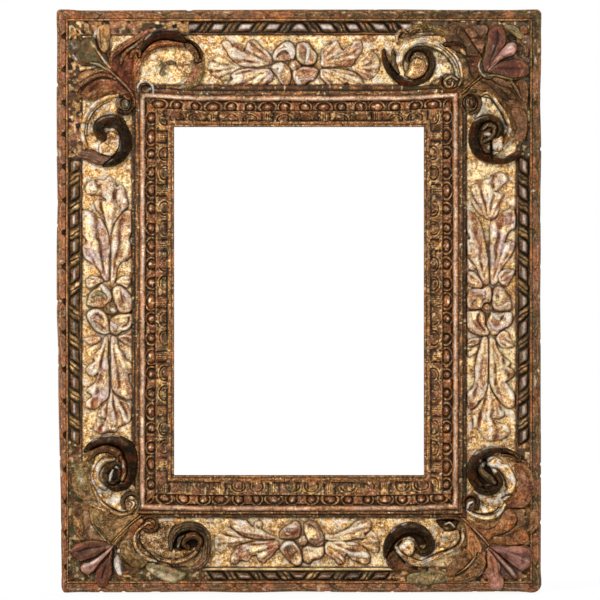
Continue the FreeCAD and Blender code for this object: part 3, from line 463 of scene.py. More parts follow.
    def make(self, node, slot, material, ground, back, raised_only=0.0, dirt_and_shade_depth=0.8, dirt_and_shade_share=1.0):
        """Sets the points at their height, closes the block and lets it stand for the node.
        raised_only leaves out what is lower than so many mm, also where patches of the surface touch in a
        single corner. The last two amounts say how far in mm a point lies below its neighbours where it is
        darkened in full, partly as dirt and partly as painted shade, and how much of that darkening there is."""
        if raised_only:
            self.close_hollows(raised_only * MM)
        # Points below their near and wide surroundings are painted darker, partly as dirt and partly as
        # painted shade.
        level = self.soften(self.lift, NEARBY)
        near = (level - self.lift) / (dirt_and_shade_depth * MM)
        wide = (self.soften(self.lift, WIDE_AROUND) - self.lift) / DEEP
        recess = np.clip(np.maximum(near, 0) + np.maximum(wide, 0), 0, 1) * dirt_and_shade_share
        worn = np.clip((self.lift - level) / RUBBED, 0, 1)
        height = ground + self.lift
        self.mesh.vertices.foreach_set("co", np.stack([self.x, -height, self.z], axis=1).ravel())
        colour = self.mesh.attributes.new("tint", "FLOAT_COLOR", "POINT")
        colour.data.foreach_set("color", np.column_stack([self.tint, np.ones(len(self.x))]).ravel())
        for name, values in (("leaf", self.leaf), ("recess", recess), ("worn", worn)):
            self.mesh.attributes.new(name, "FLOAT", "POINT").data.foreach_set("value", values)
        bm = bmesh.new()
        bm.from_mesh(self.mesh)
        if raised_only:
            bm.verts.ensure_lookup_table()
            self.drop(bm, [bm.verts[i] for i in np.flatnonzero(self.lift < raised_only * MM)])
            while pinched := [v for v in bm.verts if sum(e.is_boundary for e in v.link_edges) > 2]:
                self.drop(bm, pinched)
            edge = [v for v in bm.verts if v.is_boundary]
            for _ in range(3):
                bmesh.ops.smooth_vert(bm, verts=edge, factor=0.5, use_axis_x=True, use_axis_z=True)
        rim = [e for e in bm.edges if e.is_boundary]
        wall = bmesh.ops.extrude_edge_only(bm, edges=rim)["geom"]
        foot = [g for g in wall if isinstance(g, bmesh.types.BMVert)]
        for vert in foot:
            vert.co.y = -back
        bottom = [g for g in wall if isinstance(g, bmesh.types.BMEdge) and g.is_boundary]
        bmesh.ops.edgeloop_fill(bm, edges=bottom)
        for edge in rim + bottom:
            edge.smooth = False
        bmesh.ops.recalc_face_normals(bm, faces=bm.faces)
        for face in bm.faces:
            face.smooth = True
        bm.to_mesh(self.mesh)
        bm.free()
        self.mesh.materials.append(material)
        piece = in_scene(self.name, self.mesh)
        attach(piece, "frame")
        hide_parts(node)
        print(self.name, len(self.mesh.polygons), "faces")

    def close_hollows(self, floor):
        """Raises low points that the carving shuts in, so that the block has no holes."""
        low = np.empty(len(self.lift), bool)
        low[self.order] = self.lift < floor
        low = np.pad(low.reshape(self.lattice), 1, constant_values=True)
        open_air = np.zeros_like(low)
        open_air[0] = True
        while True:
            wider = open_air.copy()
            wider[1:] |= open_air[:-1]
            wider[:-1] |= open_air[1:]
            wider[:, 1:] |= open_air[:, :-1]
            wider[:, :-1] |= open_air[:, 1:]
            wider &= low
            if (wider == open_air).all():
                break
            open_air = wider
        shut_in = (low & ~open_air)[1:-1, 1:-1].reshape(-1)[self.order]
        self.lift[shut_in] = floor

    @staticmethod
    def drop(bm, points):
        """Removes points and the ones that are left without a face."""
        bmesh.ops.delete(bm, geom=points, context="VERTS")
        stray = [v for v in bm.verts if not v.link_faces]
        bmesh.ops.delete(bm, geom=stray, context="VERTS")


# %% [markdown]
# Every rail has the same bands, so one helper lays a grid over a band of any side. Its ends
# follow the mitres: the deeper the band lies in the frame, the shorter it gets.

# %% Bands around the frame
SIDES = ("top", "right", "bottom", "left")
SEEDS_PER_SIDE = 20


def on_side(side, along, run):
    """Place in the front view of a point along a side, run metres in from its outer edge."""
    return {"top": (along, HALF_HEIGHT - run), "right": (HALF_WIDTH - run, -along),
            "bottom": (-along, run - HALF_HEIGHT), "left": (run - HALF_WIDTH, along)}[side]


def half_length(side):
    """Half the length of a side along its outer edge."""
    return HALF_WIDTH if side in ("top", "bottom") else HALF_HEIGHT


def runs_of(kind):
    """Where a band starts and ends, and the heights of its back and its highest point."""
    low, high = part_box(f"{kind}_top")
    return HALF_HEIGHT - high.z, HALF_HEIGHT - low.z, -high.y, -low.y


def band_of(kind, side, step):
    """Carving over one side's band, with the place along the side and the run at each point."""
    start, end, back, top = runs_of(kind)
    columns = int(2 * half_length(side) / step)
    rows = int((end - start) / step)

    def place(u, v):
        run = start + (v + 1) / 2 * (end - start)
        return on_side(side, u * (half_length(side) - run), run)

    carving = Carving(f"{kind}_{side}_carved", columns, rows, place)
    turned = {"top": (carving.x, HALF_HEIGHT - carving.z), "right": (-carving.z, HALF_WIDTH - carving.x),
              "bottom": (-carving.x, HALF_HEIGHT + carving.z), "left": (carving.z, HALF_WIDTH + carving.x)}
    carving.along, carving.run = turned[side]
    return carving, start, end, back, top


def on_all_sides(carve, seed):
    """Carves a band of every side, each with random numbers of its own."""
    for number, side in enumerate(SIDES):
        carve(side, seed + number * SEEDS_PER_SIDE)


def signs_of(corner):
    """Signs of x and z at a corner of the frame."""
    return 1 if "right" in corner else -1, 1 if "top" in corner else -1


for kind in ("outer_moulding", "twist_moulding", "frieze_board", "inner_moulding"):
    print(kind, "from and to, back and top in mm", [round(v / MM, 1) for v in runs_of(kind)])

# %% [markdown]
# A finish is a tree of shader nodes. Written out it is long and hard to read. These helpers
# add a node, link its inputs or set them, and name the usual sums, so that the finish itself
# reads like a recipe: mix this, stain that, emboss the rest.

# %% Node helpers


def add_node(tree, kind, **values):
    """New shader node; values named like its inputs or its own settings are set on it."""
    node = tree.nodes.new(kind)
    for key, value in values.items():
        if key in node.inputs:
            node.inputs[key].default_value = value
        else:
            setattr(node, key, value)
    return node


def is_socket(value):
    """Whether a value is an input or output of a node and not a number."""
    return isinstance(value, bpy.types.NodeSocket)


def plug(value, node, name):
    """Links a value to an input of a node, or sets the input where the value is a number."""
    if is_socket(value):
        value.id_data.links.new(value, node.inputs[name])
    else:
        node.inputs[name].default_value = value


def noise(place, size, detail=3, roughness=0.6, **more):
    """Noise over the object with features of about `size` metres."""
    node = add_node(place.id_data, "ShaderNodeTexNoise", Scale=1 / size, Detail=detail,
                    Roughness=roughness, **more)
    plug(place, node, "Vector")
    return node.outputs["Fac"]


def stretch(value, low, high, to_low=0.0, to_high=1.0):
    """Maps low-high of a value to another range and holds it there."""
    ends = {"From Min": low, "From Max": high, "To Min": to_low, "To Max": to_high}
    node = add_node(value.id_data, "ShaderNodeMapRange", **ends)
    plug(value, node, "Value")
    return node.outputs["Result"]


def sums(kind, first, second):
    """Math node on two values, of which one may be a number."""
    tree = (first if is_socket(first) else second).id_data
    node = add_node(tree, "ShaderNodeMath", operation=kind)
    plug(first, node, 0)
    plug(second, node, 1)
    return node.outputs[0]


def times(first, second):
    """Product of two values, of which one may be a number."""
    return sums("MULTIPLY", first, second)


def mix(share, first, second, kind="MIX"):
    """Blend of two colours by a share; a colour is a socket or a linear rgb."""
    tree = next(value for value in (share, first, second) if is_socket(value)).id_data
    node = add_node(tree, "ShaderNodeMix", data_type="RGBA", blend_type=kind)
    plug(share, node, 0)
    plug(first if is_socket(first) else (*first, 1), node, 6)
    plug(second if is_socket(second) else (*second, 1), node, 7)
    return node.outputs[2]


def stain(colour, by):
    """A colour multiplied by another colour or by a value."""
    return mix(1.0, colour, by, "MULTIPLY")


def attribute(tree, name, output="Fac"):
    """What a carving has painted on its points under a name."""
    return add_node(tree, "ShaderNodeAttribute", attribute_name=name).outputs[output]


def new_material(name):
    """Empty material; returns it, the place on the object as a socket, and its shader."""
    material = bpy.data.materials.new(name)
    material.use_nodes = True
    place = add_node(material.node_tree, "ShaderNodeTexCoord").outputs["Object"]
    return material, place, material.node_tree.nodes["Principled BSDF"]


def emboss(shader, height, strength, depth):
    """Fine relief of a height value on a shader, with a depth in metres."""
    relief = add_node(height.id_data, "ShaderNodeBump", Strength=strength, Distance=depth)
    plug(height, relief, "Height")
    plug(relief.outputs["Normal"], shader, "Normal")

# %% [markdown]
# Worn water gilding is thin leaf over red clay over white ground. Rubbing bares the clay on ridges, and the
# leaf breaks into bright and dull specks, which are painted glints and painted shadow. Hollows are painted
# dark, partly for dirt and partly as painted shade. One node tree does this from the painted attributes, and
# each kind of carving gets its own amounts.

# %% The gilded finish
# The last of these is the pale colour of flecks that stand for glints on the leaf, which is a painted
# highlight.
BARE_CLAY, FRESH_GILT, LEAF_GLINT = linear(150, 84, 46), linear(220, 168, 96), linear(255, 240, 202)
# size of the cloudy changes of tone, of the patches, of the flecks and of the grit
CLOUD, PATCH, FLECK, GRIT = 16 * MM, 4.6 * MM, 1.9 * MM, 1.2 * MM
CRACK_SIZE, BUMP_DEPTH = 6 * MM, 0.9 * MM
WARM_GLOSS = (1, 0.86, 0.7, 1)
# what a colour is multiplied by where it is stained, and where torn leaf shows its shadow
STAIN, TORN = (0.22, 0.16, 0.14), (0.24, 0.14, 0.12)


def gilding(name, blotch, speck, rubbed, metal, rough, hollow_colour=(24, 17, 10), bump=0.5, gloss=0.2):
    """Painted and gilded carving. blotch: cloudy changes of tone; speck: flecks of broken leaf, the pale ones
    painted glints and the dark ones painted shadow; rubbed: bare clay on ridges and gold in patches; the last
    colour is painted in the hollows, partly for dirt and partly as painted shade."""
    material, place, shader = new_material(name)
    tree = material.node_tree
    tint, leaf = attribute(tree, "tint", "Color"), attribute(tree, "leaf")
    recess, worn = attribute(tree, "recess"), attribute(tree, "worn")
    cloud, patch, fleck = noise(place, CLOUD, 4), noise(place, PATCH, 5, 0.7), noise(place, FLECK)
    grit = stretch(noise(place, GRIT, 2, 0.5), 0.35, 0.65, 0.7, 1.25)
    toned = stain(stain(tint, grit), stretch(cloud, 0.36, 0.64, 1 - blotch, 1 + blotch * 0.7))
    mottled = mix(times(stretch(patch, 0.5, 0.38), blotch), toned, stain(toned, STAIN))
    clay_at = sums("ADD", patch, times(worn, 0.1))
    clay = mix(times(stretch(clay_at, 0.55, 0.66), rubbed), mottled, BARE_CLAY)
    gilt_at = times(stretch(fleck, 0.48, 0.6), stretch(worn, 0.1, 0.8))
    gilt = mix(times(gilt_at, rubbed), clay, FRESH_GILT)
    # Pale flecks are painted glints on the leaf, and dark flecks are painted shadow where it is torn.
    both = sums("ADD", times(fleck, 0.55), times(patch, 0.45))
    bright = times(stretch(both, 0.505, 0.575), stretch(leaf, 0.08, 0.8))
    flecked = mix(times(bright, speck), gilt, LEAF_GLINT)
    dark = times(stretch(both, 0.475, 0.41), stretch(leaf, 0.1, 0.8, 0.5, 1.0))
    broken = mix(times(dark, speck), flecked, stain(flecked, TORN))
    # The hollows take the hollow colour, partly as dirt and partly as painted shade.
    plug(mix(times(recess, 0.9), broken, linear(*hollow_colour)), shader, "Base Color")
    clean = sums("SUBTRACT", 1, sums("MAXIMUM", recess, stretch(fleck, 0.46, 0.38)))
    plug(times(times(leaf, clean), metal), shader, "Metallic")
    plug(stretch(patch, 0.38, 0.62, rough + 0.14, rough - 0.08), shader, "Roughness")
    plug(gloss, shader, "Specular IOR Level")
    plug(WARM_GLOSS, shader, "Specular Tint")
    cracks = add_node(tree, "ShaderNodeTexVoronoi", Scale=1 / CRACK_SIZE, feature="DISTANCE_TO_EDGE")
    plug(place, cracks, "Vector")
    crack = stretch(cracks.outputs["Distance"], 0, 0.04, -0.4, 0)
    surface = sums("ADD", sums("ADD", fleck, times(patch, 1.6)), crack)
    emboss(shader, surface, bump, BUMP_DEPTH)
    return material

# %% [markdown]
# The bands of the real frame have aged apart. The frieze is the brightest and its leaf the
# most broken, the scrolls are nearly black and glossy, and the palmettes are painted. So
# each gets its own amounts of the same wear, which keeps them one family.

# %% Finishes of the carvings
# blotch, speck, rubbed, metal and rough of each kind of carving
OUTER_FINISH = gilding("old_outer_band", 0.4, 0.35, 0.5, 0.2, 0.5)
TWIST_FINISH = gilding("rubbed_twist", 0.4, 0.4, 0.25, 0.4, 0.3)
FRIEZE_FINISH = gilding("gilded_frieze", 0.3, 0.72, 0.45, 0.45, 0.36, hollow_colour=(42, 23, 11), bump=0.6)
INNER_FINISH = gilding("gilded_inner_moulding", 0.5, 0.45, 0.4, 0.4, 0.34)
SCROLL_FINISH = gilding("dark_scroll", 0.5, 0.75, 0.12, 0.45, 0.24, bump=0.4, gloss=0.07)
LEAF_FINISH = gilding("brown_leaf", 0.55, 0.45, 0.4, 0.3, 0.4, gloss=0.14)
PETAL_FINISH = gilding("glazed_palmette", 0.45, 0.25, 0.25, 0.25, 0.3, bump=0.4)

for finish in (OUTER_FINISH, TWIST_FINISH, FRIEZE_FINISH, INNER_FINISH, SCROLL_FINISH, LEAF_FINISH,
               PETAL_FINISH):
    print(finish.name, len(finish.node_tree.nodes), "nodes")

# %% [markdown]
# No edge of an old frame is straight. The outline wanders in by a few mm, the corners are
# worn round and the foot of the left side leans in. The points of the outer band are moved
# for this, always inwards, so that nothing stands out past the measured box.

# %% Worn outline
CORNER_ROUND = {"top_left": 5 * MM, "top_right": 6 * MM, "bottom_left": 8 * MM, "bottom_right": 11 * MM}
# the left side has warped: below this height its foot leans in by so much
LEAN_START, LEAN = -20 * MM, 6 * MM


def wear_outline(carving, side, width, seed):
    """Lets the outer edge wander inwards a little and rounds the worn corners of the frame."""
    along, run = carving.along / MM, carving.run / MM
    from_end = (half_length(side) - np.abs(carving.along)) / MM
    wander = 0.7 + 0.7 * drift(along, 60, seed)
    wander += 1.3 * ease(drift(along, 7, seed + 1), 0.6, 0.9)
    shift = np.clip(wander, 0, 3) * (1 - run / width) * ease(from_end, 12, 30)
    carving.x, carving.z = on_side(side, carving.along, carving.run + shift * MM)
    for corner, radius in CORNER_ROUND.items():
        right, up = signs_of(corner)
        out_x = carving.x * right - HALF_WIDTH + radius
        out_z = carving.z * up - HALF_HEIGHT + radius
        near = (out_x > 0) & (out_z > 0)
        pull = np.maximum(out_x, out_z)[near] / np.hypot(out_x, out_z)[near] - 1
        carving.x[near] += right * out_x[near] * pull
        carving.z[near] += up * out_z[near] * pull
    from_left = np.clip((carving.x + HALF_WIDTH) / (width * MM), 0, 1)
    carving.x += LEAN * np.clip((LEAN_START - carving.z) / (LEAN_START + HALF_HEIGHT), 0, 1) * (1 - from_left)


print("corners rounded by", [round(radius / MM) for radius in CORNER_ROUND.values()], "mm")

# %% [markdown]
# The outer band is the weather side of the frame. Its flat top carries long lobes that swell
# and shrink, a dark nick between them and a thin ridge along the inner edge. The outer
# arris has been knocked about for centuries, so chips and a rounding are cut into it. Candle
# smoke has turned the top and right sides greyish green, and the other two are redder.

# %% Outer band
LOBE_LENGTH = 40 * MM
OUTER_STEP = 0.95 * MM
OUTER_RELIEF = 1.3 * MM
# the groove beside the lobes and the thin ridge beyond it, in mm from the outer edge
GROOVE_RUN, RIDGE_RUN, RIDGE_HALF = 10.9, 12.4, 1.3
# how far in mm the outer arris is rounded, and how much it has lost
ARRIS_WIDTH, ARRIS_LOSS = 3.4, 3.6
# how far in mm chips reach inwards, and how deep they are
CHIP_WIDTH, CHIP_DEPTH = 4.5, 1.8
# cover of the red clay on the lobes, of the greenish smoke, and depth of the nicks, per side
OUTER_TONES = {"left": (0.85, 0.35, 1), "bottom": (0.6, 0.7, 0.5), "top": (0.15, 0.7, 0.3),
               "right": (0.4, 1, 0.35)}


def outer_band(side, seed):
    """Outermost band of one side, with lobes, nicks and a knocked outer edge."""
    carving, start, end, back, top = band_of("outer_moulding", side, OUTER_STEP)
    place = along, run = carving.along / MM, (carving.run - start) / MM
    red, smoke, nicked = OUTER_TONES[side]
    wobble = drift(along, 45, seed)
    phase = (along + 5 * wobble) / (LOBE_LENGTH / MM)
    lobe = 2 * (phase - np.floor(phase)) - 1
    edge = 2.8 + 5.2 * lobe ** 4 + 0.6 * wobble
    on_lobe = between(run, (edge - 0.5, edge + 0.6), (10.4, 11.2))
    ragged = 0.05 * uneven(along, run, 2.5, seed + 1)
    nick = ease(np.abs(lobe) + ragged, 0.97 - 0.02 * run, 1.04 - 0.02 * run) * ease(run, 5, 8)
    nick *= 1 - ease(run, 10.8, 11.6)
    small_nick = bell(lobe + ragged, 0.03) * ease(run, 6.5, 8.5) * (1 - ease(run, 10.8, 11.4))
    ridge = hump((run - RIDGE_RUN) / RIDGE_HALF)
    arris = np.clip(1 - run / ARRIS_WIDTH, 0, 1)
    chipped = mottle(place, 13, seed + 3, 0.45, 0.9) * np.clip(1 - run / CHIP_WIDTH, 0, 1)
    grain = uneven(along / 9, run, 1.5, seed + 2)
    carving.lift = MM * (0.8 * on_lobe - nicked * (2.4 * nick + 1.4 * small_nick) + 1.3 * ridge + 0.22 * grain
                         - ARRIS_LOSS * (1 - np.sqrt(1 - arris ** 2)) - CHIP_DEPTH * chipped
                         - 0.8 * bell(run - GROOVE_RUN, 0.5) - 0.5 * bell(run - edge, 0.7))
    carving.coat("bole")
    carving.wash("rose", on_lobe * red * (0.7 + 0.3 * uneven(along, run, 20, seed + 4)))
    carving.wash("mauve", mottle(place, 24, seed + 5, 0, 0.6) * 0.6)
    carving.wash("moss", mottle(place, 16, seed + 6, -0.2, 0.25) * smoke * 0.85)
    carving.wash("slate", mottle(place, 5, seed + 12, 0.1, 0.5) * smoke * 0.6)
    carving.wash("umber", ease(grain, 0.1, 0.6) * 0.5)
    carving.wash("umber", 0.5 * bell(run - edge, 0.8))
    carving.wash("cream", 0.4 * bell(run - edge - 1.1, 0.5) * ease(grain, -0.4, 0.2))
    streaks = ease(uneven(along / 5, run, 2, seed + 7), 0.05, 0.5)
    streaks *= mottle(place, 12, seed + 8, -0.2, 0.4)
    carving.wash("amber", streaks * (0.3 + 0.55 * ease(run, 7, 10)))
    carving.wash("amber", ridge * 0.5 * mottle(place, 9, seed + 9, -0.3, 0.3))
    smoked = ease(carving.x + carving.z, 0.28, 0.6) * mottle(place, 14, seed + 14, -0.8, 0)
    carving.wash("moss", smoked * 0.8)
    carving.wash("soot", smoked * 0.65 * mottle(place, 6, seed + 15, -0.3, 0.3))
    chips = ease(uneven(along, run * 1.6, 6, seed + 10), 0.72, 0.85)
    carving.wash("cream", chips * 0.8)
    carving.wash("soot", np.clip(nick + small_nick * 0.9, 0, 1) * nicked)
    carving.lift -= chips * 0.5 * MM
    carving.hand_work(seed + 11, 0.4)
    carving.lift = np.minimum(carving.lift, OUTER_RELIEF)
    wear_outline(carving, side, (end - start) / MM, seed + 13)
    carving.make(f"outer_moulding_{side}", "outer_band", OUTER_FINISH, top - OUTER_RELIEF, back,
                 dirt_and_shade_share=0.15 + 0.85 * ease(run, 2, 6))


on_all_sides(outer_band, 100)

# %% [markdown]
# Near each corner the frame has its own colours: rose and dull gold at the top left, mauve
# and grey at the top right, red clay at the bottom and moss at its left. They are thin
# glazes over the wood, so they are mottled in patches of three sizes.

# %% Colours of the corners
# glazes of each corner, from large patches to small ones
CORNER_TONES = {"top_left": ("rose", "soot", "dull_gold"), "top_right": ("mauve", "soot", "slate"),
                "bottom_right": ("bole", "soot", "dull_gold"), "bottom_left": ("bole", "moss", "olive")}
CORNERS_OF = {"top": ("top_left", "top_right"), "right": ("top_right", "bottom_right"),
              "bottom": ("bottom_right", "bottom_left"), "left": ("bottom_left", "top_left")}


def corner_wash(carving, corner, cover, seed):
    """Mottled glazes of a corner's own colours over what is there."""
    everywhere = slice(None)
    for number, finish in enumerate(CORNER_TONES[corner]):
        carving.wash(finish, cover * carving.patches(everywhere, 9 - 2 * number, seed + number, 0, 0.4))
    carving.wash("pale_gold", cover * 0.5 * carving.patches(everywhere, 3.2, seed + 5, 0.45, 0.75))


print("corner glazes", CORNER_TONES)

# %% [markdown]
# The twist is a ribbon wound round a rod of beads. Each turn shows one long dark bead and
# one wrap of two rubbed ridges, all cut on the slant. The slant turns over in the middle of
# each side. Smoke has left more gold on some sides, and near the corners the ribbon goes
# over into rough lumps with the colours of that corner.

# %% Twisted ribbon
TWIST_PITCH = 32.4 * MM
TWIST_SLANT = 0.62
TWIST_STEP = 0.8 * MM
TWIST_RELIEF = 5.6 * MM
# where the bead lies in one turn and half its length, and where the wrap starts and its length
BEAD_AT, BEAD_HALF, WRAP_START, WRAP_LENGTH = 0.26, 0.25, 0.54, 0.43
# heights in mm of the beads, the wraps, the ribbon's edges and the fillet
BEAD_HIGH, WRAP_HIGH, EDGE_HIGH, FILLET_HIGH = 5.4, 4.5, 1.4, 4.6
# how far in mm from the middle of a side the ribbon still shows; how much gold the wraps still show, and how
# strong the painted highlight and sheen on the beads are
TWIST_SEEN = {"left": 165, "top": 125, "right": 165, "bottom": 110}
TWIST_GILT_AND_HIGHLIGHT = {"left": (1.0, 0.3), "top": (0.05, 1.0), "right": (0.35, 0.6), "bottom": (0.5, 0.2)}
# width in mm of a plain gilded fillet left between the ribbon and the frieze
TWIST_FILLET = {"left": 0.8, "top": 0.8, "right": 0.8, "bottom": 3.6}


def twist(side, seed):
    """Twisted ribbon of one side, with rough lumps towards both corners."""
    carving, start, end, back, top = band_of("twist_moulding", side, TWIST_STEP)
    place = along, run = carving.along / MM, (carving.run - start) / MM
    fillet = TWIST_FILLET[side]
    width, pitch = (end - start) / MM - fillet, TWIST_PITCH / MM
    across = (run - width / 2) / (width / 2) + 0.05 * drift(along, 20, seed + 7)
    slanted = np.abs(along) - TWIST_SLANT * (run - width / 2) + 1.6 * uneven(along, run, 24, seed)
    phase = slanted / pitch + 0.25
    turn = np.floor(phase)
    part = phase - turn
    luck = uneven(turn * 3.7, np.sign(along) * 2.5, 1, seed + 1)
    bead = hump((part - BEAD_AT) / BEAD_HALF, 3) ** 0.5
    bead *= hump(across / 0.72, 3) ** 0.5
    wrap_share = np.clip((part - WRAP_START) / WRAP_LENGTH, 0, 1)
    split = 0.5 + 0.12 * luck + 0.1 * uneven(along, run, 5, seed + 8)
    wrap = np.clip(np.sin(wrap_share * math.pi), 0, 1) ** 0.6
    wrap *= 1 - 0.55 * bell(wrap_share - split, 0.1)
    wrap *= hump(across / 0.9, 3) ** 0.6
    wrap *= 0.85 + 0.25 * uneven(*place, 6, seed + 9)
    edges = bell(np.abs(across) - 0.98, 0.08)
    along_fillet = hump((run - width) / fillet * 2 - 1)
    beads = BEAD_HIGH * bead * (0.92 + 0.08 * luck)
    carving.lift = MM * np.maximum(beads + WRAP_HIGH * wrap + EDGE_HIGH * edges,
                                   FILLET_HIGH * np.sqrt(along_fillet))
    gilt, bead_highlight = TWIST_GILT_AND_HIGHLIGHT[side]
    carving.coat("soot")
    carving.wash("moss", mottle(place, 9, seed + 10, 0, 0.6) * 0.6)
    carving.wash("olive", 0.8 * gilt ** 2 * mottle(place, 4, seed + 17, -0.5, 0.2))
    body = ease(bead, 0.35, 0.9)
    carving.wash("mahogany", body * (0.55 + 0.3 * luck))
    carving.wash("slate", body * 0.6 * mottle(place, 5, seed + 11, -0.1, 0.4))
    # Each bead gets a pale painted highlight along its middle and a lilac painted sheen around it.
    painted_highlight = np.exp(-((part - BEAD_AT) / 0.17) ** 8 - ((across + 0.08) / (0.1 + 0.2 * bead_highlight)) ** 8)
    painted_highlight *= 0.55 + 0.45 * mottle(place, 3, seed + 12, -0.5, 0.2)
    painted_sheen = np.exp(-((across + 0.08) / 0.42) ** 4) * (0.6 + 0.4 * luck)
    carving.wash("lilac", body * 0.6 * bead_highlight ** 2 * painted_sheen)
    carving.wash("chalk", painted_highlight * (0.4 + 0.4 * bead_highlight) * (0.7 + 0.3 * luck))
    rubbed = ease(wrap, 0.35, 0.85)
    carving.wash("slate", rubbed * 0.7)
    carving.wash("bole", rubbed * 0.6 * mottle(place, 7, seed + 2, -0.2, 0.4))
    flakes = mottle(place, 3.4, seed + 4, 0.45 - 0.85 * gilt, 0.75 - 0.6 * gilt)
    carving.wash("dull_gold", rubbed * flakes * (0.5 + 0.4 * gilt))
    carving.wash("gold", rubbed * gilt * 0.8 * mottle(place, 6, seed + 18, -0.2, 0.3))
    flakes *= mottle(place, 5, seed + 5, 0, 0.4)
    carving.wash("pale_gold", ease(wrap, 0.75, 1) * flakes * gilt)
    carving.wash("umber", edges * 0.8)
    carving.wash("amber", edges * 0.7 * mottle(place, 12, seed + 3, 0, 0.5))
    bared = 0.55 + 0.45 * mottle(place, 8, seed + 19, -0.4, 0.1)
    carving.wash("pale_gold", ease(along_fillet, 0.1, 0.6) * bared * (fillet > 1))
    seen = TWIST_SEEN[side] + 8 * uneven(along, run, 14, seed + 13)
    hidden = ease(np.abs(along), seen, seen + 10)
    lumps = 2.8 + 1.2 * uneven(along, run, 8, seed + 14) + 0.5 * uneven(along, run, 3, seed + 15)
    carving.lift += (MM * lumps - carving.lift) * hidden
    carving.wash("umber", hidden)
    for corner, there in zip(CORNERS_OF[side], (along < 0, along > 0)):
        corner_wash(carving, corner, hidden * there, seed + 16)
    carving.hand_work(seed + 6, 0.4)
    carving.lift = np.minimum(carving.lift, TWIST_RELIEF)
    carving.make(f"twist_moulding_{side}", "twisted_ribbon", TWIST_FINISH, top - TWIST_RELIEF, back)


on_all_sides(twist, 300)

# %% [markdown]
# The inner moulding steps down to the picture. From the frieze inwards it has two plain
# fillets, a half round, a row of eggs, a row of small leaves and the sight edge. The eggs
# come in threes, round, long and round, each in a cut husk, with a leaf tab between the
# groups. Below them the leaves are short arcs with a ribbed stem, worn and mottled.

# %% Inner moulding
# where each step ends in mm from the frieze, and how high it lies
FILLET_END, STEP_END, TORUS_END, BEADS_END, LEAVES_END = 4, 9, 15.5, 28, 42.5
STEP_LEVELS = (5.2, 8.2, 8.6, 5.0)
# the leaves slope down from one level to another, and the sight edge lies below them
LEAVES_TOP, LEAVES_DROP, SIGHT_LEVEL = 8.2, 7.6, -4.0
TORUS_HEIGHT = 3.4
# a group is two round eggs with a long one between them; the eggs' distance in mm
GROUP_LENGTH = 66
BEAD_SPACING = 21.5
# where the eggs of a group lie along the side and half their length in mm; half their width
EGGS = ((-BEAD_SPACING, 4.6), (0, 6.8), (BEAD_SPACING, 4.6))
EGG_HALF = 4.6
# half the width of a leaf's stem, its ribs per mm, and how far beside it the gap lies
STEM_HALF, STEM_RIBS, GAP_BESIDE = 4.2, 2.4, 6.8
# centre in mm from the frieze and half axes of the arc of a leaf
ARC_RUN, ARC_HALVES = 38.5, (10.5, 8)
# small cross cuts of the sight edge, their distance in mm
CROSS_PITCH = 7.4
INNER_STEP = 0.85 * MM
INNER_RELIEF, INNER_LOWEST = 12 * MM, -7.4 * MM
# the steps sit low on the frame: how far in mm they lie inwards of their place, per side
LOW_STEPS = {"left": 0, "top": 3.6, "right": 0, "bottom": -2.2}
# how bright the painted highlight along the half round is, per side
RIDGE_HIGHLIGHT = {"left": 1, "top": 0.85, "right": 0.7, "bottom": 0.6}
# how much olive lies over the red of the leaves, per side
OLD_GREEN = {"left": 0.8, "bottom": 0.7, "top": 0.35, "right": 0.3}


def oval(along, run, centre_along, centre_run, half_along, half_run):
    """0 at the middle of an oval, 1 on its edge and more outside it."""
    return np.sqrt(((along - centre_along) / half_along) ** 2 + ((run - centre_run) / half_run) ** 2)


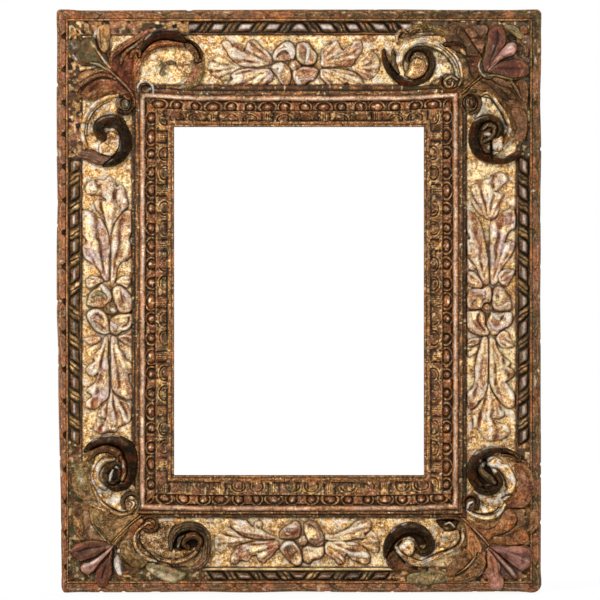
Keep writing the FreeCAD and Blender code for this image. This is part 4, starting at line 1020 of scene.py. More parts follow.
def inner_moulding(side, seed):
    """Stepped moulding of one side, from the frieze down to the picture."""
    carving, start, _, back, top = band_of("inner_moulding", side, INNER_STEP)
    true_along, true_run = carving.along / MM, (carving.run - start) / MM
    from_mitre = (half_length(side) - np.abs(carving.along) - carving.run) / MM
    low = LOW_STEPS[side] * ease(from_mitre, 0, 70)
    true_run -= low * ease(true_run, 1, 9) * (1 - ease(true_run, 36, 48))
    along = true_along + 1.4 * drift(true_along, 38, seed)
    along += 0.8 * uneven(true_along, true_run, 9, seed + 1)
    run = true_run + 0.5 * uneven(true_along, true_run, 12, seed + 2)
    place = along, run
    group = along / GROUP_LENGTH + (0.5 if side in ("left", "right") else 0.06)
    number = np.floor(group)
    in_group = (group - number - 0.5) * GROUP_LENGTH
    luck = uneven(number * 2.3 + np.rint(in_group / BEAD_SPACING), np.ones(len(along)), 0.7, seed + 3)
    in_group = in_group + 1.5 * luck
    streak = uneven(true_along / 7, true_run, 1.3, seed + 4)
    spots = uneven(true_along, true_run, 3, seed + 5)
    clouds = uneven(true_along, true_run, 11, seed + 6)

    slope = np.clip((run - BEADS_END) / (LEAVES_END - BEADS_END), 0, 1)
    within = [true_run < FILLET_END, true_run < STEP_END, run < TORUS_END, run < BEADS_END, run < LEAVES_END]
    steps = np.select(within, [*STEP_LEVELS, LEAVES_TOP - LEAVES_DROP * slope ** 1.4], SIGHT_LEVEL)
    torus_share = (run - (STEP_END + TORUS_END) / 2) / ((TORUS_END - STEP_END) / 2)
    torus = np.sqrt(hump(torus_share))
    lift = steps + TORUS_HEIGHT * torus + 0.3 * streak * (run < TORUS_END)
    lift -= 0.9 * bell(run - FILLET_END, 0.5) + 1.2 * bell(run - 0.3, 0.6)

    bead_run = (TORUS_END + BEADS_END) / 2 + 0.6
    eggs = np.full(len(along), 9.0)
    husks, painted_highlights = eggs.copy(), eggs.copy()
    for offset, half in EGGS:
        egg = oval(in_group, run, offset, bead_run + 0.6, half * (1 + 0.25 * luck), EGG_HALF + 0.5 * luck)
        eggs = np.minimum(eggs, egg)
        painted_highlight = oval(in_group, run, offset + 2 * luck, bead_run - 0.6 - luck, half * 0.42, 1.7)
        painted_highlights = np.minimum(painted_highlights, painted_highlight)
        husks = np.minimum(husks, np.abs(oval(in_group, run, offset, bead_run + 0.8, half + 3.6, 7.2) - 0.96))
    egg = np.sqrt(hump(eggs))
    husk = (0.7 + 0.3 * clouds) * bell(husks, 0.13)
    husk *= between(run, (TORUS_END, TORUS_END + 1), (BEADS_END - 3, BEADS_END))
    in_bed = between(run, (TORUS_END - 0.3, TORUS_END + 0.6), (BEADS_END - 0.5, BEADS_END + 0.5))
    lift = np.maximum(lift, 4.4 + (5.2 + 0.6 * luck) * egg)
    lift = np.maximum(lift, 5 + 3.4 * husk * in_bed)
    from_tab = np.minimum(np.abs(in_group - GROUP_LENGTH / 2), np.abs(in_group + GROUP_LENGTH / 2))
    tab_width = 5.8 - 2.2 * ease(run, 26, 38)
    tab = hump(from_tab / tab_width) * between(run, (TORUS_END, 18.5), (36, 38.5))
    lift = np.maximum(lift, steps + 3.4 * np.sqrt(tab) - 0.8 * bell(from_tab, 0.7))

    in_leaves = between(run, (BEADS_END, BEADS_END + 1.5), (LEAVES_END - 0.5, LEAVES_END + 0.5))
    arcs, arc_middles = np.full(len(along), 9.0), np.full(len(along), 9.0)
    for offset in (-BEAD_SPACING, BEAD_SPACING):
        here = oval(in_group, run, offset, ARC_RUN, *ARC_HALVES)
        arcs = np.minimum(arcs, np.minimum(np.abs(here - 0.95), np.abs(here - 0.62) + 0.04))
        arc_middles = np.minimum(arc_middles, here)
    arc = bell(arcs, 0.1) * (1 - ease(run, 38, 41)) * in_leaves
    lift += 2.1 * arc - 1.6 * in_leaves * bell(arc_middles - 0.78, 0.09)
    stem = hump(in_group / STEM_HALF) * between(run, (28.5, 30), (40.5, 42))
    ribs = np.cos(in_group * STEM_RIBS)
    lift += 1.9 * np.sqrt(stem) * (0.6 + 0.4 * ribs)
    gap = bell(np.abs(in_group) - GAP_BESIDE, 1.4) * between(run, (28, 30), (41, 42.5))
    gap = np.maximum(gap, bell(from_tab - 7, 1.2) * in_leaves * 0.7)
    lift -= 2 * gap
    cross = ease(np.cos(along * 2 * math.pi / CROSS_PITCH + 2.6 * uneven(*place, 14, seed + 7)), 0.8, 1)
    cross *= ease(drift(along, 12, seed + 8), -0.2, 0.3)
    sight = ease(run, LEAVES_END - 0.5, LEAVES_END + 0.5)
    lift += sight * (0.9 * bell(run - 45, 0.9) - 0.7 * cross)
    lift -= sight * 1.1 * bell(run - 47.2, 0.6)
    lift -= sight * 1.5 * np.clip((run - 48.6) / 1.4, 0, 1) ** 2
    lost = mottle(place, 11, seed + 9, -0.15, 0.3) * in_leaves
    lift += lost * (steps + 0.4 - lift) * 0.7

    carving.coat("bole")
    fillets = 1 - ease(run, STEP_END - 0.6, STEP_END + 0.2)
    carving.wash("umber", fillets * 0.8)
    carving.wash("moss", fillets * ease(clouds, 0, 0.5) * 0.6)
    carving.wash("amber", fillets * ease(streak, 0.1, 0.6) * 0.55)
    grooves = bell(run - FILLET_END, 0.9) + 0.8 * bell(run - 0.2, 0.9)
    carving.wash("soot", np.clip(grooves, 0, 1) * 0.9)
    carving.wash("amber", ease(torus, 0.2, 0.7) * 0.35)
    carving.wash("rose", ease(torus, 0.5, 0.9) * ease(clouds, -0.2, 0.4) * 0.8)
    # A pale painted highlight runs along the top of the half round, broken in places.
    torus_highlight = bell(torus_share - 0.1, 0.42)
    kept = ease(drift(along, 26, seed + 13), -0.5, 0.1)
    torus_highlight *= (0.4 + 0.4 * ease(spots, -0.5, 0.1)) * (0.4 + 0.6 * kept)
    carving.wash("chalk", torus_highlight * RIDGE_HIGHLIGHT[side])
    carving.wash("soot", in_bed * (eggs > 1) * (1 - tab) * (1 - 0.9 * husk) * 0.85)
    carving.wash("dull_gold", in_bed * husk * (0.5 + 0.4 * ease(clouds, -0.3, 0.3)))
    carving.wash("amber", in_bed * husk * 0.8 * ease(spots, -0.2, 0.3))
    carving.wash("mahogany", ease(-eggs, -1.05, -0.75) * 0.9)
    carving.wash("amber", ease(-eggs, -0.8, -0.5) * (0.3 + 0.35 * luck) * ease(spots, -0.6, 0))
    # A small pale painted highlight on each egg, a little off its middle.
    carving.wash("chalk", ease(-painted_highlights, -1, -0.4) * np.clip(0.6 + 0.7 * luck, 0, 1))
    carving.wash("umber", in_leaves * (0.5 + 0.4 * clouds))
    carving.wash("olive", in_leaves * mottle(place, 19, seed + 10, -0.1, 0.5) * OLD_GREEN[side])
    carving.wash("moss", in_leaves * ease(spots, 0.1, 0.6) * OLD_GREEN[side] * 0.85)
    carving.wash("mahogany", in_leaves * ease(clouds, -0.1, 0.4) * (0.8 - OLD_GREEN[side]))
    carving.wash("gold", in_leaves * ease(-spots, 0.1, 0.6) * ease(clouds, -0.3, 0.4) * 0.7)
    carving.wash("rose", in_leaves * ease(-clouds, 0.2, 0.6) * 0.5)
    carving.wash("gold", arc * (1 - 0.8 * lost) * (0.3 + 0.6 * ease(clouds, -0.3, 0.4)))
    carving.wash("gold", stem * 0.6 * ease(ribs, 0, 1))
    carving.wash("soot", gap * 0.75)
    carving.wash("olive", sight * 0.5)
    carving.wash("amber", sight * ease(streak, -0.1, 0.5) * 0.6)
    carving.wash("umber", sight * np.clip(cross + ease(spots, 0.3, 0.7), 0, 1) * 0.8)
    glints = ease(uneven(true_along, true_run, 2.2, seed + 11), 0.62, 0.8)
    carving.wash("pale_gold", glints * 0.6)
    carving.lift = lift * MM
    carving.hand_work(seed + 12, 0.35)
    carving.lift = np.clip(carving.lift, INNER_LOWEST, INNER_RELIEF)
    carving.make(f"inner_moulding_{side}", "inner_moulding", INNER_FINISH, top - INNER_RELIEF, back)


on_all_sides(inner_moulding, 500)

# %% [markdown]
# Each frieze board has a rosette of four turning petals with a spray of leaves on both
# sides. They are low carvings on a gilded ground, so each leaf is drawn by its outline. No
# two are alike on the real frame, and the drawing keeps them so. The drawing is written as
# plain words, one stroke after the other, so that it can be read and mended by eye.

# %% Reading a drawing
# leaf: finish, height in mm, the point that its flutes spread from, outline
# petal, shape, lobe: finish, height in mm, hollow share, outline
# band: finish, share of the height at its edges, then x, y, half width in pixels, height in mm
# cut: finish, depth in mm, then x, y, half width; daub: finish, cover, then x, y, half width
# A point that gives no width or height has those of the point before it, and @ gives the
# pixel that all x and y are counted from.
STROKE_KINDS = ("leaf", "petal", "shape", "lobe", "band", "cut", "daub")
# how the edge of each kind of hollowed leaf is carved
LEAF_EDGES = {"petal": {"petal": True}, "shape": {"edge": 3.4, "over": True, "line": 0.35},
              "lobe": {"edge": 5, "foot": 0.76, "over": True, "line": 0.3}}


def strokes_of(text):
    """Strokes of a drawing, each with its kind, its finish, its amounts and its points."""
    strokes, corner_x, corner_y = [], 0, 0
    for word in text.split():
        if word[0] == "@":
            corner_x, corner_y = (int(number) for number in word[1:].split(","))
        elif word in STROKE_KINDS:
            strokes.append([word, "", [], []])
            sizes = []
        elif word in FINISHES:
            strokes[-1][1] = word
        elif "," in word:
            x, y, *given = (float(number) for number in word.split(","))
            sizes = given or sizes
            strokes[-1][3].append((corner_x + x, corner_y + y, *sizes))
        else:
            strokes[-1][2].append(float(word))
    return strokes


def draw(carving, strokes):
    """Carves and paints the strokes in their order, each over the ones before it."""
    for kind, finish, amounts, rows in strokes:
        if kind == "leaf":
            carving.leaf_shape(rows[1:], amounts[0], finish, fan=rows[0])
        elif kind in LEAF_EDGES:
            carving.leaf_shape(rows, amounts[0], finish, dish=amounts[1], **LEAF_EDGES[kind])
        else:
            cutter = {"band": carving.band, "cut": carving.groove, "daub": carving.daub}[kind]
            cutter(rows, finish, amounts[0])


print("kinds of strokes", STROKE_KINDS)

# %% [markdown]
# The four drawings follow the photograph leaf by leaf: first the leaves, then the petals of the rosette over
# them, then rims, cuts and touches of paint on top. Most touches in chalk, silver and lilac on rims and
# ridges are painted highlights.

# %% The drawing of the frieze
FRIEZE = {
    "top": """
@161,40
leaf pale_gold 2 83,26 79,27 71,24 64,17.5 58,16.5 54,18 49,22 47,29 51,35 59,39.5 68,39 70,34 75,30
leaf cream 3.6 115,26 110,24 111,18 107,12 100,7 96,1 90,0 86,4 84,11 80,6 75,3 72,7 68,1 63,.5 61,4 65,10
69,17 75,22.5 82,26 91,27 101,26
leaf lilac 3.6 115,27 108,28.5 97,28.5 84,28.5 75,31 70,35 72,39 67.5,43 67,47 75,48 86,47 90,44 94,48
100,48 106,43 111,40 112,34 110,30
leaf pale_gold 2 189,27 191,27.5 197,22 204,15 210,11 216,15 219,23 217,32 211,38 204,39 197,33
leaf cream 3.6 155,27 160,26 160,18 160,12 165,6 170,4 173,.5 177,2 180,8 183,10 186,6 191,5 193,1 200,1
201,10 197,17 194,21 190,25.5 179,26 169,27
leaf pale_gold 3.8 155,27 161,29 171,28.5 181,29 191,31.5 198,36 202,42 205,47 199,48 191,46 186,43 181,46
176,48 169,48 165,43 160,38 159,33
petal lilac 5.5 .3 113,20 112,14 116,8 122,3 127,1 132,4 135,10 134,16 129,19.5 122,20.5
petal cream 5.5 .3 135,12 136,5 141,2 147,3 152,9 156,15 155,21 151,25 144,25.5 139,22 136,18
petal rose 5.5 .2 139,27 145,26.5 152,27 157,30 156,36 150,40 145,44 141,47 136,45 132,39 132,32 135,28
petal cream 5 .3 110,28 114,23.5 120,22 125,24 129,30 130,38 127,45 123,46 119,41 115,35
band chalk .2 125,4,2,5.6 128.5,8,3.6,6.4 131,13,3.6,6.6 131.5,17,2,6
band chalk .3 114,20,.8,4.6 114.5,16,1,5.4 117,12.5,1.1,5.8 121,9.6,1.1,6 126,8.6,1.2,6.2
cut maroon 1.6 116.5,17,1.2 118.5,14,1.6 123,12 127,13,1.2
cut bole .8 122,16,2.6 127,17,2.2
daub gold 1 117,19,1.3 120,15.5
daub pale_gold 1 115.5,20,.8 123,20.2 129,19.5
daub rose .8 139,5,2.4 142,9,2.6 139,15,2
band chalk .3 142.5,3,1,5.4 147,8,1.7,6.2 147,14,1.8,6.2 145.5,21,1.4,5.6
daub sage .8 143,17,2.2 141.5,21,2
daub dull_gold .8 151,11,1.2 150,17,1.6 151,22,1.4
daub chalk .9 153.6,13.5,.9 153.6,18,1
daub amber .9 147.5,4,.7 151.5,10,.8
cut umber 1.2 141,25.4,.8 147,26.2,.9 152,25.2,.8
band chalk .3 114,27,2,5.2 117,25.6,2.6,5.8 120,28 118,31.5,1.8,5.4
cut umber 1.4 123,23.5,.7 125,27,1 127,30,.7
daub amber .9 125.6,25.5,.7 128,30,.8
daub rose .8 122,31,2
daub pale_gold 1 127,31,1.8 125,34.5,2.6 123,37,1.6
cut maroon 1.4 119.5,37,.8 122,41.5,1 124,44,.7
daub chalk 1 117,34,.9 118,39 121,43 124,45.6,.6
daub amber 1 122,39.5,.9 126,42,1.1 129,43,.8
daub rose .7 139,31,3 149,30 155,32,2
cut olive .7 143,29.5,.7 145.3,31 143.5,32.7 141.8,31,.6
daub umber .8 147,33,1.2 148.5,36,1
daub cream .8 152.5,34,2.4
band chalk .3 136,37,1.6,5.2 137.5,41,2.4,6.2 140,46,1.4,5.4
band lilac .3 138,39.4,1,5.4 145,39,1.3,6 152.5,39,1.2,5.6
cut umber 1.2 145,44.4,1.2 147.5,42.6,1.3
daub maroon .7 142,42.4,1.2
daub umber .8 152.2,38,.7
band umber .8 133.3,25,5.6,3.6 134.1,25
band dull_gold .4 133.3,25,4.5,6.4 134,25
daub chalk 1 132.2,23.6,1.3 132.6,25.8
cut maroon 1 133,27.4,.6 135.4,26
daub chalk .8 129.6,26,.5 132,29,.6 135,29.6,.4
daub moss .8 0,21,3.4 2,27,3.6 4,33,4
daub umber .6 7,19,3 12,22,4 17,26,3
daub olive .85 28,18,1.4 30,26,1.6 26,36 18,43 9,48,1.8
daub rose .7 34,21,3.4 36,30,4 31,40,3.4
daub sage .7 17,47,2.6 27,46,3
""",
    "left": """
@82,176
leaf cream 2.8 28,70 28,64 25,52 21,41 16,35 12,29 14,24 21,24.5 24,24 19,20 13,18.5 6,18.5 3,12 6,6.5
13,3.5 22,4 27,.5 32,4 35,11 38,8 42,12 45,22 46,30 41,35 36,41 31,50 29,60
leaf lilac 3.6 26,114 0,35 9,36 15,41 19,43 22,48 26,58 28,70 27.5,86 27,102 23,105 18,96 14,90 8,86 2,81
0,70 5,65 0,58 0,46
leaf cream 3.6 30,114 49,35 43,35 37,42 32,50 29,64 29,84 29,107 33,105 35,94 39,86 45,84 50,78 49,70 47,64
50,56 50,44
leaf lilac 3.4 26,106 4,107 4,103 10,100 16,101 21,105 16,108 9,112 5,111
leaf gold 3 30,106 34,106 37,102 43,100 49,102 48,108 45,112 39,109
leaf lilac 3.8 26,154 25.5,162 22,162 20,169 18,173 14,176 10,181 13,185 8,188 4,193 6,198 11,200 16,197
15,202 13,207 7,211 4,215 10,220 4,225 4,230 8,233 15,232 20,227 25,223 27,216 27,202 26,182
leaf cream 3.8 29,154 29,162 34,161 36,169 38,174 42,178 44,184 49,187 52,192 51,197 46,198 47,204 49,210
52,216 51,222 46,224 40,221 34,218 30,212 29,202 29,182
leaf cream 2.8 29,204 29,211 31,216 35,221 42,225 48,228 50,237 48,245 42,249 37,251 33,256 26,256 19,258
12,254 11,249 15,246.5 20,247 24,243 19,242.5 15.5,239 17,234 22,229 27,222
leaf rose 3.4 24,158 3,162 10,160 18,161 19,164 15,167 9,169 4,166
leaf gold 3 30,156 36,161 42,158 51,157 52,170 45,169 39,165
petal cream 5.5 .2 5,126 8,117 15,112 20,108 25,112 29,118 29,124 26,129 20,131 12,131 6,130
petal cream 5.5 .3 31,113 37,110 44,114 50,122 52,129 49,135 42,137 36,134 33,128 31,121
petal pale_gold 5.5 .35 36,139 43,138 50,138.5 51,146 47,153 40,155 34,159 29,156 27.5,149 29,143
petal lilac 5.5 .3 6,136 12,133 19,134 24,139 26.5,146 26.5,155 21,158 14,155 9,149 5,142
band chalk .3 20,110,1.6,5 23,114,2.6,6.2 27,120,1.6,5.6
band sage .3 9,121,1.4,5 15,117.5,2.4,6 21,119 24,122,1.6,5.6
daub cream .9 5.5,124,.6 9,120,.7 13,117,.6
daub bole .9 16,122,1.8 21,128,2.2
daub slate .8 15,125,1.8 10.5,129
daub amber .9 16,129.5,1.2 21,131
daub chalk .9 21.8,132.5,1.1
daub pale_gold 1 11,112.5,1.3 16,107.5,1.5
daub pale_gold .9 33,115,1.8 35.5,120,2.4 34,126,1.6
daub chalk 1 36.5,116,.8 38,121,1
cut maroon 1.6 38.8,116,.8 40,123,1 41.5,127,.8
band lilac .3 39,112,1.4,4.8 43,117,2,5.8 46,123,2,6
daub chalk 1 46.5,124.5,1.6 50,127
daub chalk .9 45,130,1.6
daub rose .9 50,130,1.4
daub dull_gold .9 40,131,1.8 44,133.5,2
daub chalk .8 32,113,1.1 36,111.8,1
daub pale_gold 1 35.5,140,1.8 40,143,2.8 38,147,2.2 43,141.5,1.8
cut bole 1.7 47,141,.9 45.6,147,1.2 40.5,151,.9
daub pale_gold 1 49.6,138,.7 50.6,144,.8 49,150,.7
band chalk .3 36.5,151,1,5 41,153.4,1.2,5.8 46,151.4 49.5,146.5,.8,5
band lilac .3 30,148,2,5.2 33.5,151,2.4,6 33,154,1.8,5.4
daub chalk 1 33,148.6,1.2
daub maroon .8 33,155,1.5
band chalk .3 16,135,1.1,5 12,135.6,1.8,5.8 8,139,1.8,5.2
daub umber 1 12,141.4,1
cut maroon 1.4 14.5,138.5,1.2 19,141,1.8 21.5,144,1
daub pale_gold 1 22.5,136,1.3 23.5,143,1.8 21.5,149
band silver .3 10.5,144,1.6,5 12.5,150,2.3,5.8 16.5,155,1.6,5.2
daub gold 1 13,143.5,.9 18,145.5,1
cut umber 1.4 19.3,149.5,.9 23.5,153.4,1
band chalk .3 18,155,.8,4.8 22.5,157.4,1,5.4 27,156,.8,4.8
band umber .8 28.6,132.4,6.2,3.6 29.4,132.4
band olive .4 28.6,132.4,5.2,6.6 29.4,132.4
daub chalk 1 30,133,1.6 32,135,1.4
daub bole .8 28,128,1 31.4,128.6
daub umber .9 26,138,1.2 29.6,138.4
""",
    "right": """
@467,172
leaf cream 2.8 22,54 22,48 16,44 10,39 6,32 5,23 4,15 7,12 13,12 18,7.5 23,6 28,1 35,.5 41,5 41,10 36,12.5
33,17 28,19.5 32,21 37,23 36,28 32.5,32 32,38 29,44.5 25,47
leaf cream 3.6 20,118 0,40 5,41 10,45 13,50 15,56 17,64 19,74 21,86 22,98 22,111 17,112 13,104 10,96 6,90
1,85 0,78 0,68 3,66 0,58
leaf lilac 3.6 24,118 47,37 39,38 33,42 29,47 24,50 23,64 23,83 24,111 30,111 33,100 37,93 42,87 45,82 47,78
48,71 43,69 38,71 40,64 44,58 48,56 49,46
leaf rose 3 17,112 1,87 5,91 9,95 8,98 3,98 1,94
leaf dull_gold 3.2 21,120 1,101 7,100 12,105 16,112 13,116 6,115 1,113
leaf cream 3.2 23,116 31,101 36,98 42,97 48,99 46,105 43,109 41,114 36,113 32,109
leaf cream 3.8 20,158 15,166 20.5,166 21,183 21,200 20,216 17,225 12,229 9,234 3,237 .5,232 1,221 6,215
8.5,206 8,196 10,185 13,175
leaf pale_gold 3.8 23,158 23,166 28,168 30,175 35,183 41,188 44,191 41,195 46,197 47,203 42,208 39,210
43,216 47,221 48,228 47,235 41,236 36,233 32,228 28,222 24,214 22.5,203 22.5,183
leaf gold 2.8 22,206 22,212 25,220 29,226 32,230 33,237 37,240 36,245 31,247 27,246.5 32,251 39,253 43,258
41,264 35,267 28,269 20,268 14,262 11,257 7,255 6,246 4,240 9,236 14,230 19,221
leaf dull_gold 3 17,164 1,168 6,166 13,166 12,171 6,174 1,175
leaf pale_gold 2.6 17,172 1,179 6,176 11,175 9,181 3,185 1,184
leaf pale_gold 3.2 25,162 30,163 36,159 41,161 44,168 47,174 41,176 34,175 30,169
petal cream 5.5 .25 0,132 0,124 3,118 10,116.5 15,117 20,114 24,116 25,122 24,129 19,133 11,137 3,137
petal cream 5.5 .25 27,117 32,114 37,117 41,123 44,130 44,137 36,139 28,137.5 25.5,131 26,123
petal pale_gold 5.5 .3 22,146 26,141 33,141 40,140.5 45,141 45,150 40,155 33,158 31,162 26,163 22,158 20,152
petal rose 5.5 .2 0,140 7,139 14,139 18,145 18,152 22,159 21,163 14,163.5 8,162 2,158 0,150
daub rose .8 4,121,2.4 8,124,2.6
band lilac .3 7,119.4,1.6,5 12,119.6,2,5.8 17,122,1.6,5.6
daub chalk .9 16.2,121.2,1.2
band cream .3 20,117,2.4,5.2 21.6,122,2.8,6.2 20,127,2,5.6
daub gold 1 11,127,1.6 9.5,131,1.9 14,135,1.8
cut slate 1.2 8.5,127.6,.7 5.5,131.4
daub chalk 1 6.4,130.4,.7
cut maroon 1 14.5,132,.9 17,127,1 21,127.6,.9
daub lilac .8 28,115.6,1.3 34,116.4,1.5
daub pale_gold 1 33.5,121.5,2 35.6,126.5,2.6 32.5,131,1.8
cut umber 1.2 28.6,123.4,.7 31,123.6,.8 31.8,126.4,.7
daub chalk 1 26.6,126.8,1.3
daub rose .9 39,120.5,1.3 41,128,1.6
daub rose .9 29.6,132.4,1.5
band cream .3 31.5,135.4,1.4,5 37,134.4,2.4,5.8 41,131,1.8,5.4
daub slate .8 40.2,134.5,1.3
daub chalk 1 43.6,131.4,1.4
band chalk .3 25,141.4,1.3,4.8 28.5,144.4,2.2,5.8 32,147,1.6,5.4
band chalk .3 38,143,2.4,5.6 42,143.4,3,6 41,148,2.2,5.6
cut bole 1.5 37.6,142,.8 34,147.6
daub amber .9 25,146.6,1.4
band lilac .3 23.4,151,1.6,5 27.5,156.6,2.4,5.8 34,155.5,2.2,5.6 40,151.5,1.4,5
daub chalk 1 34.6,151.6,.9 38.6,148.4
daub chalk .9 23,150.4,.8
band cream .3 2.5,142,1.8,5 3,147,2.6,5.8 6,155 13,160,1.8,5.2
cut maroon 1.8 13,140.6,.9 10.4,146,1.4 13,152.4,1.2 17.6,158,.8
daub gold 1 15,145.6,1.2 16.4,151,1.5
daub chalk 1 15.6,140,.7 17,143.4,.8
daub chalk 1 18.6,155.4,1 21,161
band umber .8 20,135,5,3.4 21,136
band dull_gold .4 20,135,3.6,6 21,136
cut umber 1.4 18,132.4,.8 21.4,131.4 23.4,133,.7
cut bole 1.2 18.6,139,.7 22.4,137.6
daub lilac .9 21,136,1
""",
    "bottom": """
@215,520
leaf pale_gold 2.4 41,20 37,20 27,17 21,12 16,8 10,8 4,13 0,18 0,27 4,32 10,30 12,26 19,26 28,23
leaf cream 3.8 69,20 62,18.5 53,14 47,9 47,2 41,1 38,7 34,4 30,0 17,0 16,6 21,11 27,15 35,17.5 47,19
leaf rose 3.8 69,20 63,21 53,21 40,22 30,24 23,26 19,31 16,37 16,43 22,44 25,40 32,41 37,36 42,35 43,39
48,43 53,39 57,36 61,31 64,27
leaf gold 2.4 135,21 137,21 147,21 151,16 156,11 161,15 164,21 164,31 158,32 152,29 145,24
leaf pale_gold 3.8 103,21 111,20 111,14 118,15 126,11 133,9 137,5 142,1 154,0 157,5 154,11 149,14 151,18
140,19 127,21
leaf dull_gold 3.8 103,22 111,23 121,21.5 133,22 141,23 147,26 152,31 155,37 154,43 148,45 144,42 137,40
132,34 130,37 129,43 123,44 119,39 114,36 110,32
petal maroon 5.5 .3 65,18 65,12 69,8 75,4 81,1 85,4 86,11 84,17 78,18.5 71,19
petal cream 5.5 .25 91,16 89,9 90,3 96,1 102,4 106,11 109,19 108,24 102,26 96,24 93,21
petal cream 5.5 .15 88,29 93,26 100,27.5 108,27 109,32 106,38 99,39 95,43 90,42 88,36
petal rose 5.5 .2 65,28 70,22 76,21 81,24 85,30 87,37 86,44 82,46 76,42 71,37 67,33
daub mahogany 1 68,12.6,2 75,13,2.6 83,13.4,2.2
band lilac .3 68,10,1,4.8 73,7.6,1.8,5.8 81,6.6,2,6
daub chalk 1 76,7,1.1 80.6,7.4,1.2
daub chalk .9 79.4,3,1
daub rose .9 83.6,3.6,1.6 84,8,1.4
daub dull_gold 1 66,16.5,.7 69.6,11
daub chalk 1 67,21,.8 73,18.8 79.4,19.4
cut umber 1.2 91,4,1.2 96,5.4,1.8 100.6,9,1.4
band mauve .3 94.5,1,.8,5 101,4,1.1,5.8 104.4,10,1.2,6 105.4,16,1,5.6
daub pale_gold 1 90,11.4,1.6 95,13.6,2.8 99,15.6,2.4 97.6,11.4,1.8
daub maroon .9 101.8,8.4,1.2
daub maroon .9 101.8,15,1
band mauve .2 95.5,21,1.8,4.8 101,22.4,2.8,5.8 106.6,20,2.4,5.6
daub lilac .9 105.4,18.6,1.6
daub bole .9 108.4,22,1.1
daub pale_gold 1 98,28.4,1.8 103,31.6,3 97.6,35
daub mauve .9 91,30,2.2
daub dull_gold .9 91.4,37,1.8
daub maroon .9 92,41.4,1.4 96,40.6
daub chalk 1 103,29.4,1 104,33,.8
daub chalk 1 96,32.4,.9 101.6,35.6
daub umber 1 72,28,3 76,36,3.6 81,32,3
band chalk .2 67.4,28,1,4.8 71,24.4,1.8,5.8 76.4,23,1.5,5.8
cut slate .8 73.4,26.4,.9 76.2,27.6 74.4,29.6,.7
band bole .2 70.6,31,1.4,5.2 72.6,36,1.8,5.6 75,40,1.3,5
daub dull_gold 1 84,31,.6 82.4,36.4,.8
daub dull_gold 1 80.6,35,.6 78.6,40,.8
daub cream .9 81,41,1.4 86,43.4,1.5
daub rose .8 82.4,44,1
band umber .8 87.2,21,5,3.6 88,21
band dull_gold .4 87.2,21,4.1,6.4 88,21
daub chalk 1 88.2,16.8,1.4
daub lilac .9 87.6,21,1.4 89,23,1
daub umber .9 90,25,1 92,23.6,.8
""",
}

for side, drawing in FRIEZE.items():
    print(side, len(strokes_of(drawing)), "strokes")

# %% [markdown]
# The ground of a board is gilded first and rubbed in patches, then the ornament is carved over it. Along both
# edges the gold gives way to red clay, partly clay bared by rubbing and partly painted shade beside the
# higher bands.

# %% Frieze boards
FRIEZE_STEP = 0.9 * MM
FRIEZE_RELIEF = 7.5 * MM
FRIEZE_LOWEST = -2 * MM


def frieze_board(side, seed):
    """Gilded board of one side with its drawn ornament, darker along both edges with bared clay and painted
    shade.
    """
    carving, start, end, back, top = band_of("frieze_board", side, FRIEZE_STEP)
    run = (carving.run - start) / MM
    place = carving.along / MM, run
    width = (end - start) / MM
    carving.coat("gold")
    carving.wash("pale_gold", mottle(place, 14, seed, -0.1, 0.5) * 0.9)
    carving.wash("dull_gold", mottle(place, 9, seed + 1, 0.2, 0.8) * 0.6)
    carving.wash("bole", mottle(place, 6, seed + 2, 0.3, 0.7) * 0.65)
    # Pale patches on the gold ground are painted glints.
    carving.wash("chalk", mottle(place, 7, seed + 5, 0.3, 0.7) * 0.6)
    draw(carving, strokes_of(FRIEZE[side]))
    edge = np.minimum(run, width - run) + 0.8 * uneven(*place, 8, seed + 3)
    # Red clay along both edges, partly bared clay and partly painted shade.
    carving.wash("bole", (1 - ease(edge, 0.6, 3.2)) * 0.75)
    carving.lift -= 0.8 * MM * (1 - ease(edge, 0, 1.6))
    carving.hand_work(seed + 4, 0.45)
    carving.lift = np.clip(carving.lift, FRIEZE_LOWEST, FRIEZE_RELIEF)
    carving.make(f"frieze_board_{side}", "gilded_frieze", FRIEZE_FINISH, top - FRIEZE_RELIEF, back,
                 dirt_and_shade_depth=1.8)


on_all_sides(frieze_board, 700)
